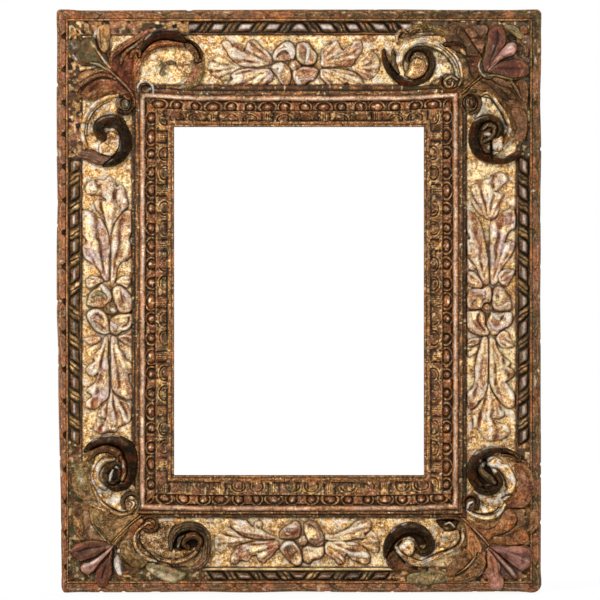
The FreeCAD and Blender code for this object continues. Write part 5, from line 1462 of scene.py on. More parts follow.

# %% [markdown]
# The corners are the deepest carving: a leaf grows from each mitre, throws a scroll along both
# rails and ends in a palmette. They were carved apart and glued on, and each has its own
# losses, so each is drawn stroke by stroke, the low strokes first and the high ones over them.

# %% The drawing of the corners
# Pale daubs and bands in chalk and silver on these carvings are mostly painted highlights.
CORNERS = {
    "top_left": {
        "rail_scroll": """
@135,28
band bole .7 3,64,3,9 .5,54,3.5,10 1,42,4,10 4,32,4.5,10.5 9,24,4.5,11 17,18.5 27,16,4.5,12
39,15,4,12 49,18,3,11
cut soot 1.2 7,34,.8 12,26,.9 22,20 35,18,.8 46,20,.6
lobe olive 7.5 .2 56,32 68,32 70,42 67,52 61,59 51,63 42,61 48,55 54,48 56,40
daub mahogany .7 61,35,3.4 61,42,3.6 58,50,3.4 52,55,2.4
daub rose .75 62,38,2.2 60,48,3 55,53,2.4 47,58,1.5
daub chalk .6 44,60,1 49,59,1.2
cut umber .9 46,22,.8 51,29,.9 54,36 54.5,42 50,49 43,55,.8 35,58,.7
band slate .5 25,46,1.4,8 27,39,1.7,8.6 33,34,1.9,8.8 39.5,34,1.6,8.6 40.5,37,1.3,8
daub dull_gold .6 26,44,1 29,37.5,1.2 35,34
daub slate .6 14,35,1.8 11,39,1.4 9,47,1.2 10,52,1
band soot .15 4,29,1.5,10 7,21,3.5,12.5 14,12,5,14 23,7,6.2,15 33,6,6.5,15.4 42,8,6,15.4 49.5,12,3.2,14.5
daub maroon .4 15,14,2 25,11,2.5 37,11 45,13,2
daub chalk .75 14,3.5,1.2 21,1,1.6 28,0,1
band umber .3 52,17,3,11.5 58,21,5.5,12.5 62.5,27,5.5,12 63,31,4.5,11
daub dull_gold .7 52,22,2.5 57,27,2.8
band soot .1 52.5,11.5,1.6,13.5 59,15,2.2,13.8 64.5,21.5,2.6,13.2 67,29,2.4,12.5
band slate .6 10,68.5,6.5,8.5 12.5,68.5
band umber .8 10.5,61,7,10 12,61.5
band silver .1 3.5,64,1.4,11 3,58,1.6,12.5 7,54.3,1.6,13.5 13,54,1.7,14 17.5,58,1.8,14 18.5,64,1.8,13
17,69,1.6,11
cut soot 1.6 6,61,1 9,58,1.3 14,58.5,1.2 15,63,1
daub silver .8 12,62.5,.8 15.5,61,1.1
""",
        "stile_scroll": """
@73,94
shape gold 6.2 .35 47,1 35,4 24,10 15,20 11,32 11,45 15,56 25,64 35,68 45,64 52,54 55,42 53,30 57,18
daub mauve .6 21,16,2 29,14,3 36,12,2
band gold .4 45,1,2,10 35,3,2.6,10.5 25,8,2.8,10.5 17,15,2.8,10 11.5,24,2.8,9.7 9.5,34,2.8,9.5 10,44,2.6,9.3
13,53,2.4,9
cut umber 1.2 39,6,.8 28,12,.9 20,20 15,30 14,42,.8
shape gold 7.5 .3 35,38 42,38 47,44 48,53 43,61 35,64 27,60 26,52 31,46
band mauve .1 0,55,2,9 7,59,5,10 17,62,6.5,10.5 27,66,6.3,10.5 37,66,4,10.5
daub gold .7 1,55,1.6 3,61 8,54,1
daub umber .7 11,67,1.5 22,72 33,73
band soot .1 31,45,2.6,12 27,40,4.2,13.5 25.8,33,4.6,14.5 30,27.5,4.5,15 38,25.8,4.6,15.2 46,28.5,5,15.4
51.5,36,5.5,15.4 53,46,6,15 51.5,56,6.5,14.5 46,64,6,13 39,69,4.5,11.5 30,72.5,1.6,10
cut soot 1.2 32,34,.7 39,33,.9 46,38 49,48 46,58,.8
daub silver .85 33.5,35.5,1 38,35,1.3 41,36,.8
daub slate .6 28,33,2 31,30,1.6
band slate .75 52,9,8.3,9.5 53,11
band soot .1 46,16.5,2,11 51,19,2.2,12 57,17.5,2.3,12.5 60.5,11,2.3,13 59.5,4,2.2,13.3 54,.5,2,13.3
48,2,1.8,13
cut soot 1.4 48,12,.9 49,6,1 54,4.5 56.5,9 54.5,14,.9
daub silver .6 53.5,8,1 54,12.5,1.2
""",
        "corner_leaf": """
@76,30
shape umber 10.5 0 61,71 54,69 45,64 36,62 28,66 22,70 12,70 4,68 0,62 2,54 4,44 12,39 24,40 30,39 34,31
36,23 44,16 54,9 64,3 72,0 75,4 70,12 65,20 62,28 60,38 60,50 61,60
lobe mauve 11.5 .2 2,52 3,45 10,41 19,40 25,42 18,47 10,51 4,56
daub gold .8 6,47,1.6 14,43,1.4 21,41.5,1
daub rose .6 8,49,1.4 16,45
lobe bole 12.6 .15 5,63 9,57 15,52 23,48.5 32,48.5 40,51 47,57 52,64 55,71 48,68 40,62 32,61 24,64 18,68
12,70 7,68
daub mahogany .7 16,57,2.4 25,54,3 35,54 44,59,2.6
daub olive .7 17,63,2.2 26,59,2.6 36,57,2.4
band slate .6 .5,61,1.6,12 4,56,2.2,13 10,51.4,2.6,13.6 17,47.4 24,45,2.4,13.4 32,45.4,2,13
40,49,1.5,12
cut soot 1.3 5,60,.9 11,55,1 18,50.5 26,48.5,.9 34,49,.8
daub silver .7 8,56.6,.7 14,52 21,49 28,50.5,.6
cut umber .8 14,62,.8 19,56,.9 25,52.5,.8 32,51.6,.7
daub amber .85 18,67.6,1 24,64,1.3 31,60.8 38,60,1.1 44,62,.9
cut soot 1 5,65,1.6 10,67.5,1.8 15,68.6,1.2
lobe mahogany 11 .3 36,38 38,30 44,24 52,24 57,29 58,40 59,52 61,64 55,62 48,54 41,46
daub soot .55 45,35,4 51,42 55,52,2.6
daub maroon .6 51,54,2 56,62,1.6
band rose .6 35,31,1.6,11.6 37,25,3.2,12.4 43,19,4,13 51,13.5,3.6,13.2 61,7.5,3,13.2 71,1.5,2,13
daub mauve .6 40,22,1.6 48,16,1.8 58,10,1.6
band slate .5 45,33,1.4,12.4 47,26.5,2.2,13.4 52,20.5,2.4,13.8 59,15.5,2,13.8 66,10,1.5,13.4
cut soot 1.4 42,30,1 45,23.6,1.2 51,18.6,1 58,13.6,.9
band bole .4 55,27,2.2,12.6 57,22.4,3,14 61,21,2.6,14.2 64,23,1.9,13.8 63.6,27,1.2,12.6
daub amber .8 57,25,1.4 60,23,1.6
daub chalk .9 53.4,20,.7 57,17.6,.8 62.4,17.4
band rose .4 30,37,1.1,12.8 40,46.5,1.4,14.2 47,53,1.5,14.4 53,59.5,1.4,14 57,66,1.3,13.4 59,76,1.2,12.4
daub chalk .6 33,39.5,.6 48,54 53.6,60.6
""",
        "palmette": """
@66,24
shape umber 10 .1 45,45 35,45 24,43 13,41 6,35 2,29 .5,22 3,17 10,14 18,13 25,12 29,6 33,2 40,1 45,5 45,14
45,26 46,37
lobe moss 12.6 .15 43,43 34,42 24,40 15,38 10,33 10,26 14,18 21,14 27,13 30,18 33,27 38,36
daub soot .6 14,37,2 22,39,2.4 31,40,2
daub olive .8 18,26,3 24,32 28,22,2.4
lobe slate 14 .25 1,27 .5,21 3.5,17 9,15 14,17 15.6,22 13.6,27 9,29.4 4,30
daub silver .7 6,20,.9 8,23.5,1.2
daub soot .6 4,25,1.2 10,27,1
lobe dull_gold 14.8 .1 30.6,7 32,3 36,.8 41,1.4 44.4,5 44.4,14 43,23 40,29 35,26 32,18
daub umber .75 42.6,12,1.6 42.6,21,2 42,28,2.4 42.6,36,2.2
daub amber .7 35,5,1.6 38,10
cut soot 1 34,6,.6 34.6,14,.8 35.6,24
daub pale_gold .9 38.4,16,1.2 40,21,1.3 40.4,24.4,.8
daub pale_gold .8 25,18,.8 27.6,21.6,1.1 30,25,.8
band gold .4 30,25,1,13.4 34,31,1.3,14 39,38,1.4,14 44,44,1.1,13
daub bole .7 33,32,1 37,37
cut soot 1.6 40,30,1 42.6,36,1.2 45,41,.8
daub chalk .9 29.5,7.5,2.2 29.5,11.5
daub chalk .85 7.5,31,1 10.5,35.5,1.1
shape pale_gold 11.4 0 13,42.6 22,42 29,42.4 27,45.4 20,46.4 14,47.6
band sage .4 25,39,1.2,12.6 32,40.4,1.8,13.2 38,44,1.7,13.2 44,47.4,1.2,12.8
daub silver .6 28,39.6,.7 35,42
""",
    },
    "top_right": {
        "rail_scroll": """
@384,24
band olive .1 18,13,2.5,9.5 27,7,5,11 40,3.5,5.5,11.5 52,5,5,12 64,10,4.5,11.5
daub dull_gold .7 21,2.5,.8 30,0,.9 41,0,.8
daub soot .6 26,10,2 38,7 50,9
band dull_gold .2 13.5,18,2,9.5 13,11,2.8,10.5 18,6.5,2.2,10.5 23,9,1.5,10
shape pale_gold 6.5 .3 14,26 22,16 34,13 46,14 58,20 69,30 77,42 77,54 71,62 62,63 54,55 46,61 31,63 18,60
10,50 10,38
daub mauve .6 53,32,1.4 58,38,2 63,39,1.4
daub umber .5 52,50,1.8 50,54,1.4
band pale_gold .65 22,55,2.6,9 16,47,3.5,10 15,38,4,10.5 18,28,4.5,11 25,20.5,4.6,11.5 36,17,4.6,12
48,19,4.5,12 59,24.5,4,12 67,32,3.5,12 72.5,42,3,11.5 74,52,2.5,11.5 71,60,2,11
cut umber .7 18,42,.6 20,29,.7 28,22 40,19.5 52,23,.6
band gold .1 57,21,1.4,12.5 66,26.5,1.9,13.3 73.5,35,2,13.8 77,45,2,14 77.5,56,1.9,13.5 72,64,1.6,12.5
cut soot 1.6 50,21,.6 59,26,.9 66,33,1 72,42,1.1 74.5,52,.9
band slate .3 9,27,2.5,10.5 9,38,3,11 13,49,2.8,11
shape dull_gold 10.5 0 26,33 32,27 40,29 45,36 45,44 41,52 32,57 24,54 20,51 25,44
daub slate .85 27,34,2 33,30,2.8 40,33,2.5 44,39,1.6
daub gold .85 25,51,2 28,46,3 30,39,2.4 37,37,1.6
daub rose .7 40,43,2.2 41,48,2.4
cut soot .9 27,37,.7 33,34,.8 40,37 42,43,.7
band soot .1 0,26,2.5,11 .5,34,3.6,12 3.5,43,4.2,12.5 10,52,4.4,13 19,58,4.2,13.5 30,59,3.6,14
40,54.5,2.9,14.5 46.5,46,2.5,15 48,37,2.3,15.2 44.5,29,2.2,15.4 37,25,2,15.4 29.5,26,1.9,15.2 25,31,1.7,14.5
24.3,37,1.4,13
band soot .1 61.5,20,3.2,11 69,19.5,4.4,12.8 76,21,4.2,13.4 80.5,26,3,13
daub maroon .7 62,21,2 69,23,2.5 75,24,2
shape gold 13.8 0 75,25 80,24.5 82.5,32 77,29.5
band slate .75 65,59,8.3,9.8 67,59
band umber .1 57.5,53.5,1.6,11 56,60,2.1,12 60,65.5,2.1,12.5 67,67,2,12.8 74,64,1.8,13
band dull_gold .1 73.5,56,1.5,12.5 67,53,1.8,13.2 61.2,56.5,1.9,13.2 62.2,62,1.7,13.2 67.5,62.5,1.5,13.2
68.5,58.3,1.3,13
daub cream .6 73,55,.8 67,52.6 62,56 62.6,62,.7
""",
        "stile_scroll": """
@461,92
shape pale_gold 6.5 .3 19,5 27,1 35,7 42,17 48,29 50,42 46,54 39,61 29,66 17,60 9,48 9,34 15,24 17,16
daub mauve .5 22,11,1.8 28,14,2.2 31,10,1.4
band gold .1 18,4,1.2,11.5 26,.8,1.8,13 33.5,6.5,2,13.6 40,15.5,2.2,13.8 46,26,2.4,13.5 49,36,2.5,13
47,45,2.5,12.5 41.5,52.5,2.4,11.5
cut soot 1.4 22,5,.6 29,6.5,.9 35,14,1 41,23,.9 45,33,.8
shape gold 11.2 0 33,46 40,43 43,50 40,59 32,58 30.5,51
daub mauve .5 35,50,1.6 38,47,1.4
band soot .1 59,56,2.6,10.5 55,63,4.6,12 45,68,4.6,12.8 35,68.5,4.6,13 25,66,5.5,13.5 17,60,6,14
12.7,51,5.6,14.5 12.2,41,5.2,15 15.5,32,4.8,15.3 22,27.5,3.8,15.4 30,27,3.2,15.5 37,31,3,15.2 39,38,2.5,14.5
36,44.5,2,13.5
daub slate .75 33,64,3.2 39,62,3.4 45,63,3
daub dull_gold .75 45,55,2.6 51,53.5,3 57,56,2.4
daub rose .7 43,61,2 50,60,2.5 56,61,1.8
shape umber 9.5 0 21,32 31,30 35,38 31,48 31,60 23,62 19,52 19,40
band slate .1 22,37,2.8,12.5 27,32.8,3.4,13.8 33,34.5,3.1,14.2 33,41,3,13.8 29.5,46,2.8,12.8 24,49,3,11.5
band gold .4 24,41.5,2.4,13.5 28,42.5
daub rose .7 22.5,36,1.2 24,36.5,1
daub chalk .6 28,54.5,.9 27,56.5,.7
cut soot 2 30,49,1.4 30.5,58,1.6 30.5,66,1.2
band slate .8 8.5,10,9.3,9.8 9.5,12
band umber .1 3,19.5,2,11 0,13,2,12 1.5,5.5,2,12.5 8,1,2.1,13 15,3 18.5,10,2,13 16.5,18,2,12.5
9.5,22,2,12
cut soot 1.3 4.5,16,.9 4.5,8,1 9,4.5 14,7 14.3,13.5 10.5,16.5,.9
band bole .1 10,8.5,1.9,13 10.8,13
""",
        "corner_leaf": """
@442,24
shape umber 10.2 0 19,71 22,58 21,44 17,32 10,25 4,18 0,10 4,4 14,0 28,1 40,0 46,3 44,12 42,22 40,32 37,40
38,46 42,54 50,56 60,60 70,62 76,56 85,58 86,70 86,84 86,96 85,108 82,118 76,118 72,112 70,100 67,90 60,82
54,74 46,68 36,66 28,67
lobe mauve 12.4 .1 31,3 38,1 46,3 45,10 42,14 36,12
lobe rose 12.8 .1 21,5 28,4 33,7 36,12.4 29,14 24,10
lobe rose 12.6 .15 29,16.4 35,14.4 42,16 42,23 39.6,30 35,25
daub cream .6 24,6.4,1.2 30,9,1.4 35,13.4,1
lobe slate 13 0 16,3 22,6 26,13 32,22 38.6,31 38,34.4 26,32 24,26 21,18 15,10
daub mauve .7 20,9,2.4 25,18,3 30,27,3.4
cut soot 1 22,6,.7 27,14 33,23 39,32,.6
lobe mahogany 11.4 .3 24,33 34,32 41,34.6 37,41 38,50 33,56 28,50 26,42
daub soot .7 29,37,2.4 34,44,1.8
daub silver .8 30.6,40.6,.6
lobe olive 13 .4 9,30 17,29.6 24,36 27,44 29,52 36,56.6 44,60 52,66 59,73 66,80 69,85 63,84 55,76.6 47,69.4
36,66 26,66 21,60 20,49 17,39
daub umber .8 12,32,1.6 17,36,1.8 20,42,1.4
daub soot .7 43,58,1.8 49,64,2 55,71,2.2 62,79,1.8
daub amber .75 23,42,1.4 24,50,1.8 29,59,2.4 37,62,1.8
daub pale_gold .9 27,62.4,1 29.4,58,.8 21.6,66
daub dull_gold .6 34,57,2 45,66,1.4 52,73,1.2
lobe mauve 12 .2 50,54 58,54 66,58 72,64 66,64 58,62
lobe slate 13.8 .25 55,62 63,63 69,67 73.6,74 69,75.6 64,70 59,65.6
daub soot .7 61,66,.9 66,70,1 70,74.6,.9
daub rose .7 58,62,.8 64,64.6 69,69
band sage .4 68,56,1.2,12.8 72.4,62,1.8,13.6 76,68,2.2,13.6 81,75,2,13.2
daub chalk .6 69.6,58,.7 73,63,.8
lobe mauve 12.2 .15 76,58 82,56 86,62 86,74 83,82 79,74 77,66
daub gold .8 82,64,.9 83.4,68
daub slate .7 78,62,1 80,68
lobe umber 12.6 .1 63,79 70,75 76,78 82,84 77,86 69,87
daub bole .9 71,75.4,.8 77,79,.9 83,85,.8
lobe rose 13.8 .05 69,86 74,83.6 80,85 84,91 85,101 84,112 80,118 75,117 73,110 75,103 71,94
daub cream .6 76,88,1.8 79,98,2.4 79,110
daub dull_gold .8 70,83.6,1.4 76,84.6 81,87,1
daub umber .7 71,98,1.4 72.6,106,1.3
band olive .2 21,69,1.2,12 29,61.4,1.3,13.2 39,53,1.2,13
""",
        "palmette": """
@478,24
shape slate 9.6 .1 0,42 5,28 9,16 9,6 16,.5 24,2 29,10 31,16 38,16 42,22 40,30 46,34 51,40 50,50 42,55.5
30,57 18,55 7,55.5 1,51
lobe maroon 14 .25 7,48 4.6,38 7,27 8.6,16 11,7 17,2.4 24,3.6 27.6,11 27,20 23.6,26 21,32 16,38 11,45
daub slate .8 6,42,1.8 7.6,32,1.6 9,23,1.2
daub rose .7 9,19,1.4 12,17
daub rose .8 27,14,1.2 27,19 24,23
daub umber .6 19,14,2 17,26,1.8 13,37,1.6
daub silver .6 15.6,22,.7 14,28,.6
cut soot 1.1 19,6,.6 20,14,.8 17,24 12,36,.7
lobe maroon 13.6 .3 9,47 14,42 21,38 28,36.6 35,35.4 42,37 48,39.4 50.6,44 49,50 43,53 36,54 29,53.4 22,51.4
15,50.4
daub soot .9 13,43.4,1.4 20,40,2.4 27,38 34,37,1.4
daub rose .85 38,36,1 44,38,1.4 47,42,1.6
daub rose .8 41,42,1.2 44,48,1.6 42,51.6,1
daub soot .7 46.6,45,1 45.6,50,.8
daub slate .7 17,47.6,1.4 24,48,1.6 31,49.6,1.4
lobe pink 15.6 0 10,46 14.6,37 20.6,29.6 26,23 31,19 36,18.6 39,22.4 38,28 33,32 27,34 20,38.4 14,44
daub rose .8 12,42,1.4 17,35,1.6 22,29
daub chalk .85 30,24,1.8 33.6,23
daub soot .85 21,36.6,1.2 27,32.8,1.6 33,30,1.4
daub maroon .8 35,31,1.4 38,26,.9 38.4,21.6,.7
cut soot 1 11,44,.7 18,37.6
daub pink .9 10,43.6,1.2
band sage .4 6,53,1,12 16,51.4,1.3,13 26,53.5,1.4,13.2 34,55.5,1.2,12.6
band sage .3 1.6,38,1,11.6 .6,43,1.5,12.4 3,49 8,53.6,1.2,12
daub chalk .7 1,38,.6 1,44,.7 4,50 7,52,.6
band sage .5 29,3,3,9.4 36,6,4.4,10.2 42,12,4,10.2
lobe bole 10.8 .2 42,3 47,1.6 50,5 49,10 43,9
band slate .5 41,18,3,9.8 47,23,3.4,10.2 48,31,2.6,10
""",
    },
    "bottom_left": {
        "rail_scroll": """
@133,516
shape dull_gold 6.5 .2 6,14 13,9 23,8 33,4 43,6 41,16 39,29 45,33 57,32 66,30 67,37 59,46 43,51 27,50 14,45
6,37 0,26
daub rose .5 17,21,2.5 23,30,2 31,37,2.5 43,40,3
daub gold .7 25,32,1.6 33,40 45,34,2 55,33,1.6
band dull_gold .1 19,37,1.5,10 27,43,2.4,11 39,46,2.6,11.5 51,44,2.6,12 60,39,2.3,12.5 66,32,2,12.5
band gold .1 10,10,1.4,10 4.5,15,2,12 1.5,22,2.4,13 2.5,30,2.5,13 7,37,2.4,12.5 14,42.5,2.4,12 23,46,2,11
cut soot 1.4 7,17,.7 7,25,.9 12,33 20,39 30,43.5,.7
shape sage 10.5 .15 13,48 19,45.5 27,47 34,47 40,51 49,54 54,57 50,63.5 43,68 35,67 27,64 19,59 13,54
daub cream .7 20,54,3 28,59,3.5 38,62,3
daub rose .6 25,50,2 33,51 39,54
cut umber 1.2 23,47.5,.7 35,50,.8 45,53.5 53,57,.6
band slate .1 38,34,1.6,11.5 38.5,25,3.2,13 42,16.5,4.8,14.5 50,11,5.6,15.2 59,10,5.8,15.4 67,13
72.5,20,5.5,15 74,29,5,14.5 73,39,5.2,14 69,47,5.2,12.8 61,51.5,3.6,11
daub soot .85 40,22,2.4 46,13,3 55,9,3.4 65,11,3.6 72,19,3.4 75,29,3 75,37,2.4
daub rose .55 70,39,2.4 67,46,3 61,49,2.2
band umber .1 65,33,2.4,12 68,25,3.6,13.8 62,19.5,4.2,14.4 54.5,21 50,27,3.6,13.8 55,31.5,2.6,13
band soot 0 52,18.5,1.1,14.4 47.5,22.5,2.3,15 45.5,29,2.5,15 47,33,1.4,14
cut soot 1.3 57,25,.7 53,28,1 55,31,.8
daub silver .6 44.5,31,.8 50,20,.5
band bole .75 15,7,7.8,9.8 17,7.5
band umber .1 8.5,7,1.6,11 12,2,1.9,12.5 18.5,.5,2,13.2 24,5 23,12,2,12.8 17,15,1.9,12.2
11,13.5,1.6,11
band dull_gold .1 11.5,9.5,1.2,11.5 15,6.5,1.9,12.6 19,8.5,1.6,12.4
""",
        "stile_scroll": """
@85,439
shape gold 6.5 .25 11,16 21,12 33,16 42,27 46,41 51,49 54,59 50,70 39,74 27,70 16,62 9,51 4.5,39 6,26
band gold .35 29,20,2,9.6 20,21.5,2.8,10.2 13.5,28,3,10.2 11,36,3,10 13.5,44,2.8,9.5 20,49,2.4,9
cut soot 1.2 10,20,.8 5.5,29 5,39,.9 9,49 15,60,1 23,67 32,71.5,.8
band dull_gold .1 12,56,1.5,10.5 17,64,2,11.5 25,71,2.3,12.3 33,75,2.3,12.6 42,75,2,12.4 50,70.5,1.8,12
daub pale_gold .95 25,75,1.3 30,78,1.8 35,77.5,1.2
daub gold .8 20,69,1.4 15,63,1.2 41,75,1
band umber .2 4,20,2.8,10 11,11.5,4.2,11.6 22,9.5,4.4,12.6 32,14,4,13 36.5,21,3,12.5
daub dull_gold .6 1,13,1.8 7,9 5,17,1.6
band soot .1 0,12,2.6,10.5 6,6.5,4.4,12.2 15,2,5,13.6 25,.5,5.5,14.6 36,2.5,6.4,15.1 44,9,7,15.4
47,19,6.8,15.4 47.3,30,6.2,15.2 44.5,39.5,5.6,14.6 38,46,4.8,13.8 29,48,3.4,12.8 22,44,2.6,12
daub slate .7 12,1,2 23,0,2.6 34,1,3 41,5,2.6
daub umber .6 37,10,2.2 41,18,2.4 42,28,2
shape soot 12 .3 20,30 25,24 33,24.5 37,31 36,41 29,46.5 22,44 18.5,37
band mahogany .1 35.5,18,2.3,13.4 39,25,3.2,14.6 39.5,33 37.5,41,2.4,13.4
daub silver .8 38.2,22,.6 38.4,28,.9
daub gold .75 40,35,1.3 38,39.5,1.5
band silver .1 28,31,1,13 26,36,1.9,13.8 25,41,1.5,13
daub silver .85 31,28,.9 33,29,.6
band dull_gold .75 45,63,7.8,9.8 46.5,65
band slate .1 39.5,69,1.5,11 38,62,1.9,12.3 42,56,1.9,13 49,55,1.9,13.2 54,60.5 54,68.5,1.9,12.8
49,74,1.6,12
band gold .1 45.5,61.5,1.1,12 49,64.5,1.8,13 47,69,1.5,12.6
daub mauve .6 42,64,1.8 44,69,1.6
""",
        "corner_leaf": """
@72,460
shape olive 10.6 .1 16,.5 10,1 4,6 0,16 0,26 4,35 12,41 22,41 27,45 23,33 19,24 16.5,14 19,6
daub sage .85 9,9,3 8,17,4 10,25
daub chalk .35 8,17,2 10,23
daub rose .5 10,34,2.6 17,37
shape umber 10.4 0 69,56 60,54 50,58 40,56 30,50 20,45 10,42 1,45 0,56 2,70 7,80 18,81 32,81 36,86 44,88
48,97 55,104 65,109 74,106 77,99 69,88 64,81 61,72 65,64
lobe mauve 11.8 .1 11,51 18,52 20,64 26,71 33,81 24,80 16,76 12,66
daub slate .7 15,58,2.4 18,68,2.8 24,76,2.4
lobe umber 12.2 .1 1,46 8,46 11,52 8,55 3,53
lobe bole 12.2 .1 1,57 5,56 10,62 12,70 10,76 6,72 3,64
daub gold .85 3.6,58,.9 6,63,1.1 7.4,67,.8
daub amber .8 10,67,.8 10.6,72 4,74,1
lobe olive 13.2 .1 18,48 25,49 31,53.6 36,58.4 42,59.6 48,58 55,55.4 61,54 66,48 66.6,55 62,63 56,71 49,79
43,85.6 38,81 32,73 26,67 20,64 18,57
daub sage .75 21,51,2 24,55,2.6
daub bole .6 32,63,2.6 40,66,3 48,64,2.6
daub rose .6 34,69,1.8 42,72 50,60,1.6
daub amber .7 55,59,.9 51,65,1 46,70 41,76,.9
daub umber .6 59,58,1.6 54,68,1.4
lobe bole 12.4 .1 58,62 66,59 75,57 70,63 65,69 62,77 62,85 57,81 52,80 55,73
daub rose .75 52,76,1.6 55,78,1.4
daub umber .7 58,70,1.6 59,78
lobe olive 13.8 .05 49,82 55,78.6 60,81 62,88 66,93 72,95 75.6,100 73,105.4 67,107 61,105 55,101 50,96 48,89
daub dull_gold .8 51,83,1.4 54,86,2 57,89,1.6
daub moss .7 56,96,2 62,99,2.6 69,101,2
cut umber .8 55,98,.7 59,102,.8 65,105
cut soot 1.6 50,101,1.6 54,106,2 60,109,1.8
daub dull_gold .8 59,104.6,.7 64,108,.9 67,110,.7
band dull_gold .3 69,55.6,1,12.6 59,63.6,1.2,14 49,73 41,81.4,1,13
daub chalk .85 19,66.6,.6 22,68.4,.9 25,71,.6
band sage .3 21,65,.9,11.6 27,72,1.1,12.4 34,81,1.1,12
daub chalk .8 29,76,.6 33,80.6,1 35.4,82.4,.7
""",
        "palmette": """
@70,538
shape soot 9.6 0 45,6 36,2 24,1 14,0 6,5 0,12 3,20 10,24 9,32 15,36 24,34 25,42 29,49 36,49 40,42 43,36
52,39 64,39 66,32 56,24 51,15
lobe maroon 13.4 .25 41,8 34,3.6 26,2.4 18,2.4 10,4.4 2.6,9 1,14 5,19 10,23 18,21.4 27,17.6 34,13
daub soot .7 30,5,2 22,5 14,15,2.6 24,14,2
daub rose .65 4,9.6,1.2 10,7,1.4 16,8,1
daub silver .7 22.5,11,.9 25,9,.5
daub bole .8 6,23,1.2 13,22,1
cut soot .8 35,8,.6 25,9,.8 14,11.6 5,14,.7
lobe maroon 13 .25 42,11 38,19 31,26 26.4,33 25,41 28,47 34,49 38,45 40,39 42.4,32 42.6,22
daub mahogany .7 34,28,2.4 32,36,2.6
daub soot .8 29,45,1.8 34,47,2 38,43,1.6
cut soot 3 43.4,13,1 42.6,22,1.5 43,33,1.3
cut soot .8 38,22,.6 34,32,.8 32,40,.7
lobe pink 15.4 0 43,7 37,12 29,18.6 21,23.4 14.6,25 11,29.4 13,35 18,36.6 24,32 30,24.6 36,18 42,11
daub maroon .85 13,33.6,1.4 18,35,1.6 25,29.6,1.2 32,22,1
daub rose .7 20,28,2 28,22.6,1.4 35,16,1
daub chalk .85 14.6,28,1 20,26,1.2 27,21.4,1 34,14.6,.7
daub cream .8 37,10,1 41,7.6,1.3
shape chalk 12 0 49,8.5 51.5,11 50,15.5 46.5,14
shape chalk 12.5 .1 45.5,16.5 48.5,17 51,23 51.5,31 52,37 48,37 45,31 43.5,23
daub rose .4 47.5,20,.9 48,27,1 48.5,32,.8
daub sage .5 46,18,.7 45.4,25 47,33,.9
shape gold 10.8 0 52,37.4 58,35.6 62,38.6 56,40.6
daub rose .8 54,35,1 58,33.4
""",
    },
    "bottom_right": {
        "rail_scroll": """
@385,517
shape gold 6.5 .25 9,29 17,21 27,20 35,28 47,24 55,15 67,13 76,12 77,24 70,32 55,37 45,41 35,47 25,44 15,38
daub mauve .5 52,28,2 58,24,2.4 65,19,2
daub olive .4 70,17,2 71,24
band gold .45 13,34,2,10.5 19,39.5,3.6,11.5 27,45,3.9,12 36,47.3,3.6,12 44,44,3.2,11.5 52,39,2.2,11
band gold .1 54,37.5,1.2,11 65,34.5,1.7,12.3 74,29,2,13.2 78,21,2.1,13.8 77,12,1.6,12.8
daub chalk .7 77.5,17,.8 78,23,1
cut soot 1.5 74.5,14,.7 75,22,.9 70.5,28.5 61,33 51,36.5,.7
cut soot 1.6 14,39,.8 22,46,1 32,51 43,50.5 50,45,.9
shape umber 10.4 .1 1,39 8,34 13,37 19,45 28,51 39,54 35,58 25,57 19,54 13,55 5,52 .5,46
daub bole .6 6,43,2.4 13,47,2.6 21,52,2
shape sage 10 .1 21,59 28,55 39,54 51,51.5 60,55 65,61 62,66 53,67.5 41,69 29,68 22,65
daub dull_gold .7 31,62,3 43,61,3.4 55,59,3
daub umber .6 24,62,1.6 51,65
shape dull_gold 9.4 0 5,60 11,58 16,61 11,63.5
shape gold 12 0 15,27 19.5,22.5 25.5,22 30,27 29.5,34 24,40 18,36 14,32
daub rose .5 23,30,1.4 24,34,1.6
band soot .1 0,39,2.6,11.5 2,29,4.6,13 7,19.5,5.6,14.4 15.5,12.5,6,15 26,10,6,15.4 36,12.5,5.5,15.4
43,19.5,5,15.2 45.3,28,4,15 42,34.5,3.4,14.5 35.5,34.5,3,14 32,29.5,2.6,13.4
daub slate .6 12,12,2.2 22,7.5,2.4 33,9 42,15,2
daub umber .7 11,19,2.2 19,15.5,2.4 28,15.5,2
daub mahogany .6 36,23,2.4 40,27,2
cut soot 2.2 12,28.5,1.4 16,25,1.5
daub chalk .6 25,26,.8 20,30,.7
band soot .35 53,4,3,10.6 59,8,4.6,11.8 67,9,4.2,12.2 72,5,3,11.8
band umber .1 52,2,1.6,11.6 61,.5,2,12.8 70,1,2,13 77,4,1.6,12.8
band gold .1 60,7.2,.9,13 65,5.8,1.2,13.8 69,9.5,1,13
daub dull_gold .6 59,11,1.6 65,12,1.4
""",
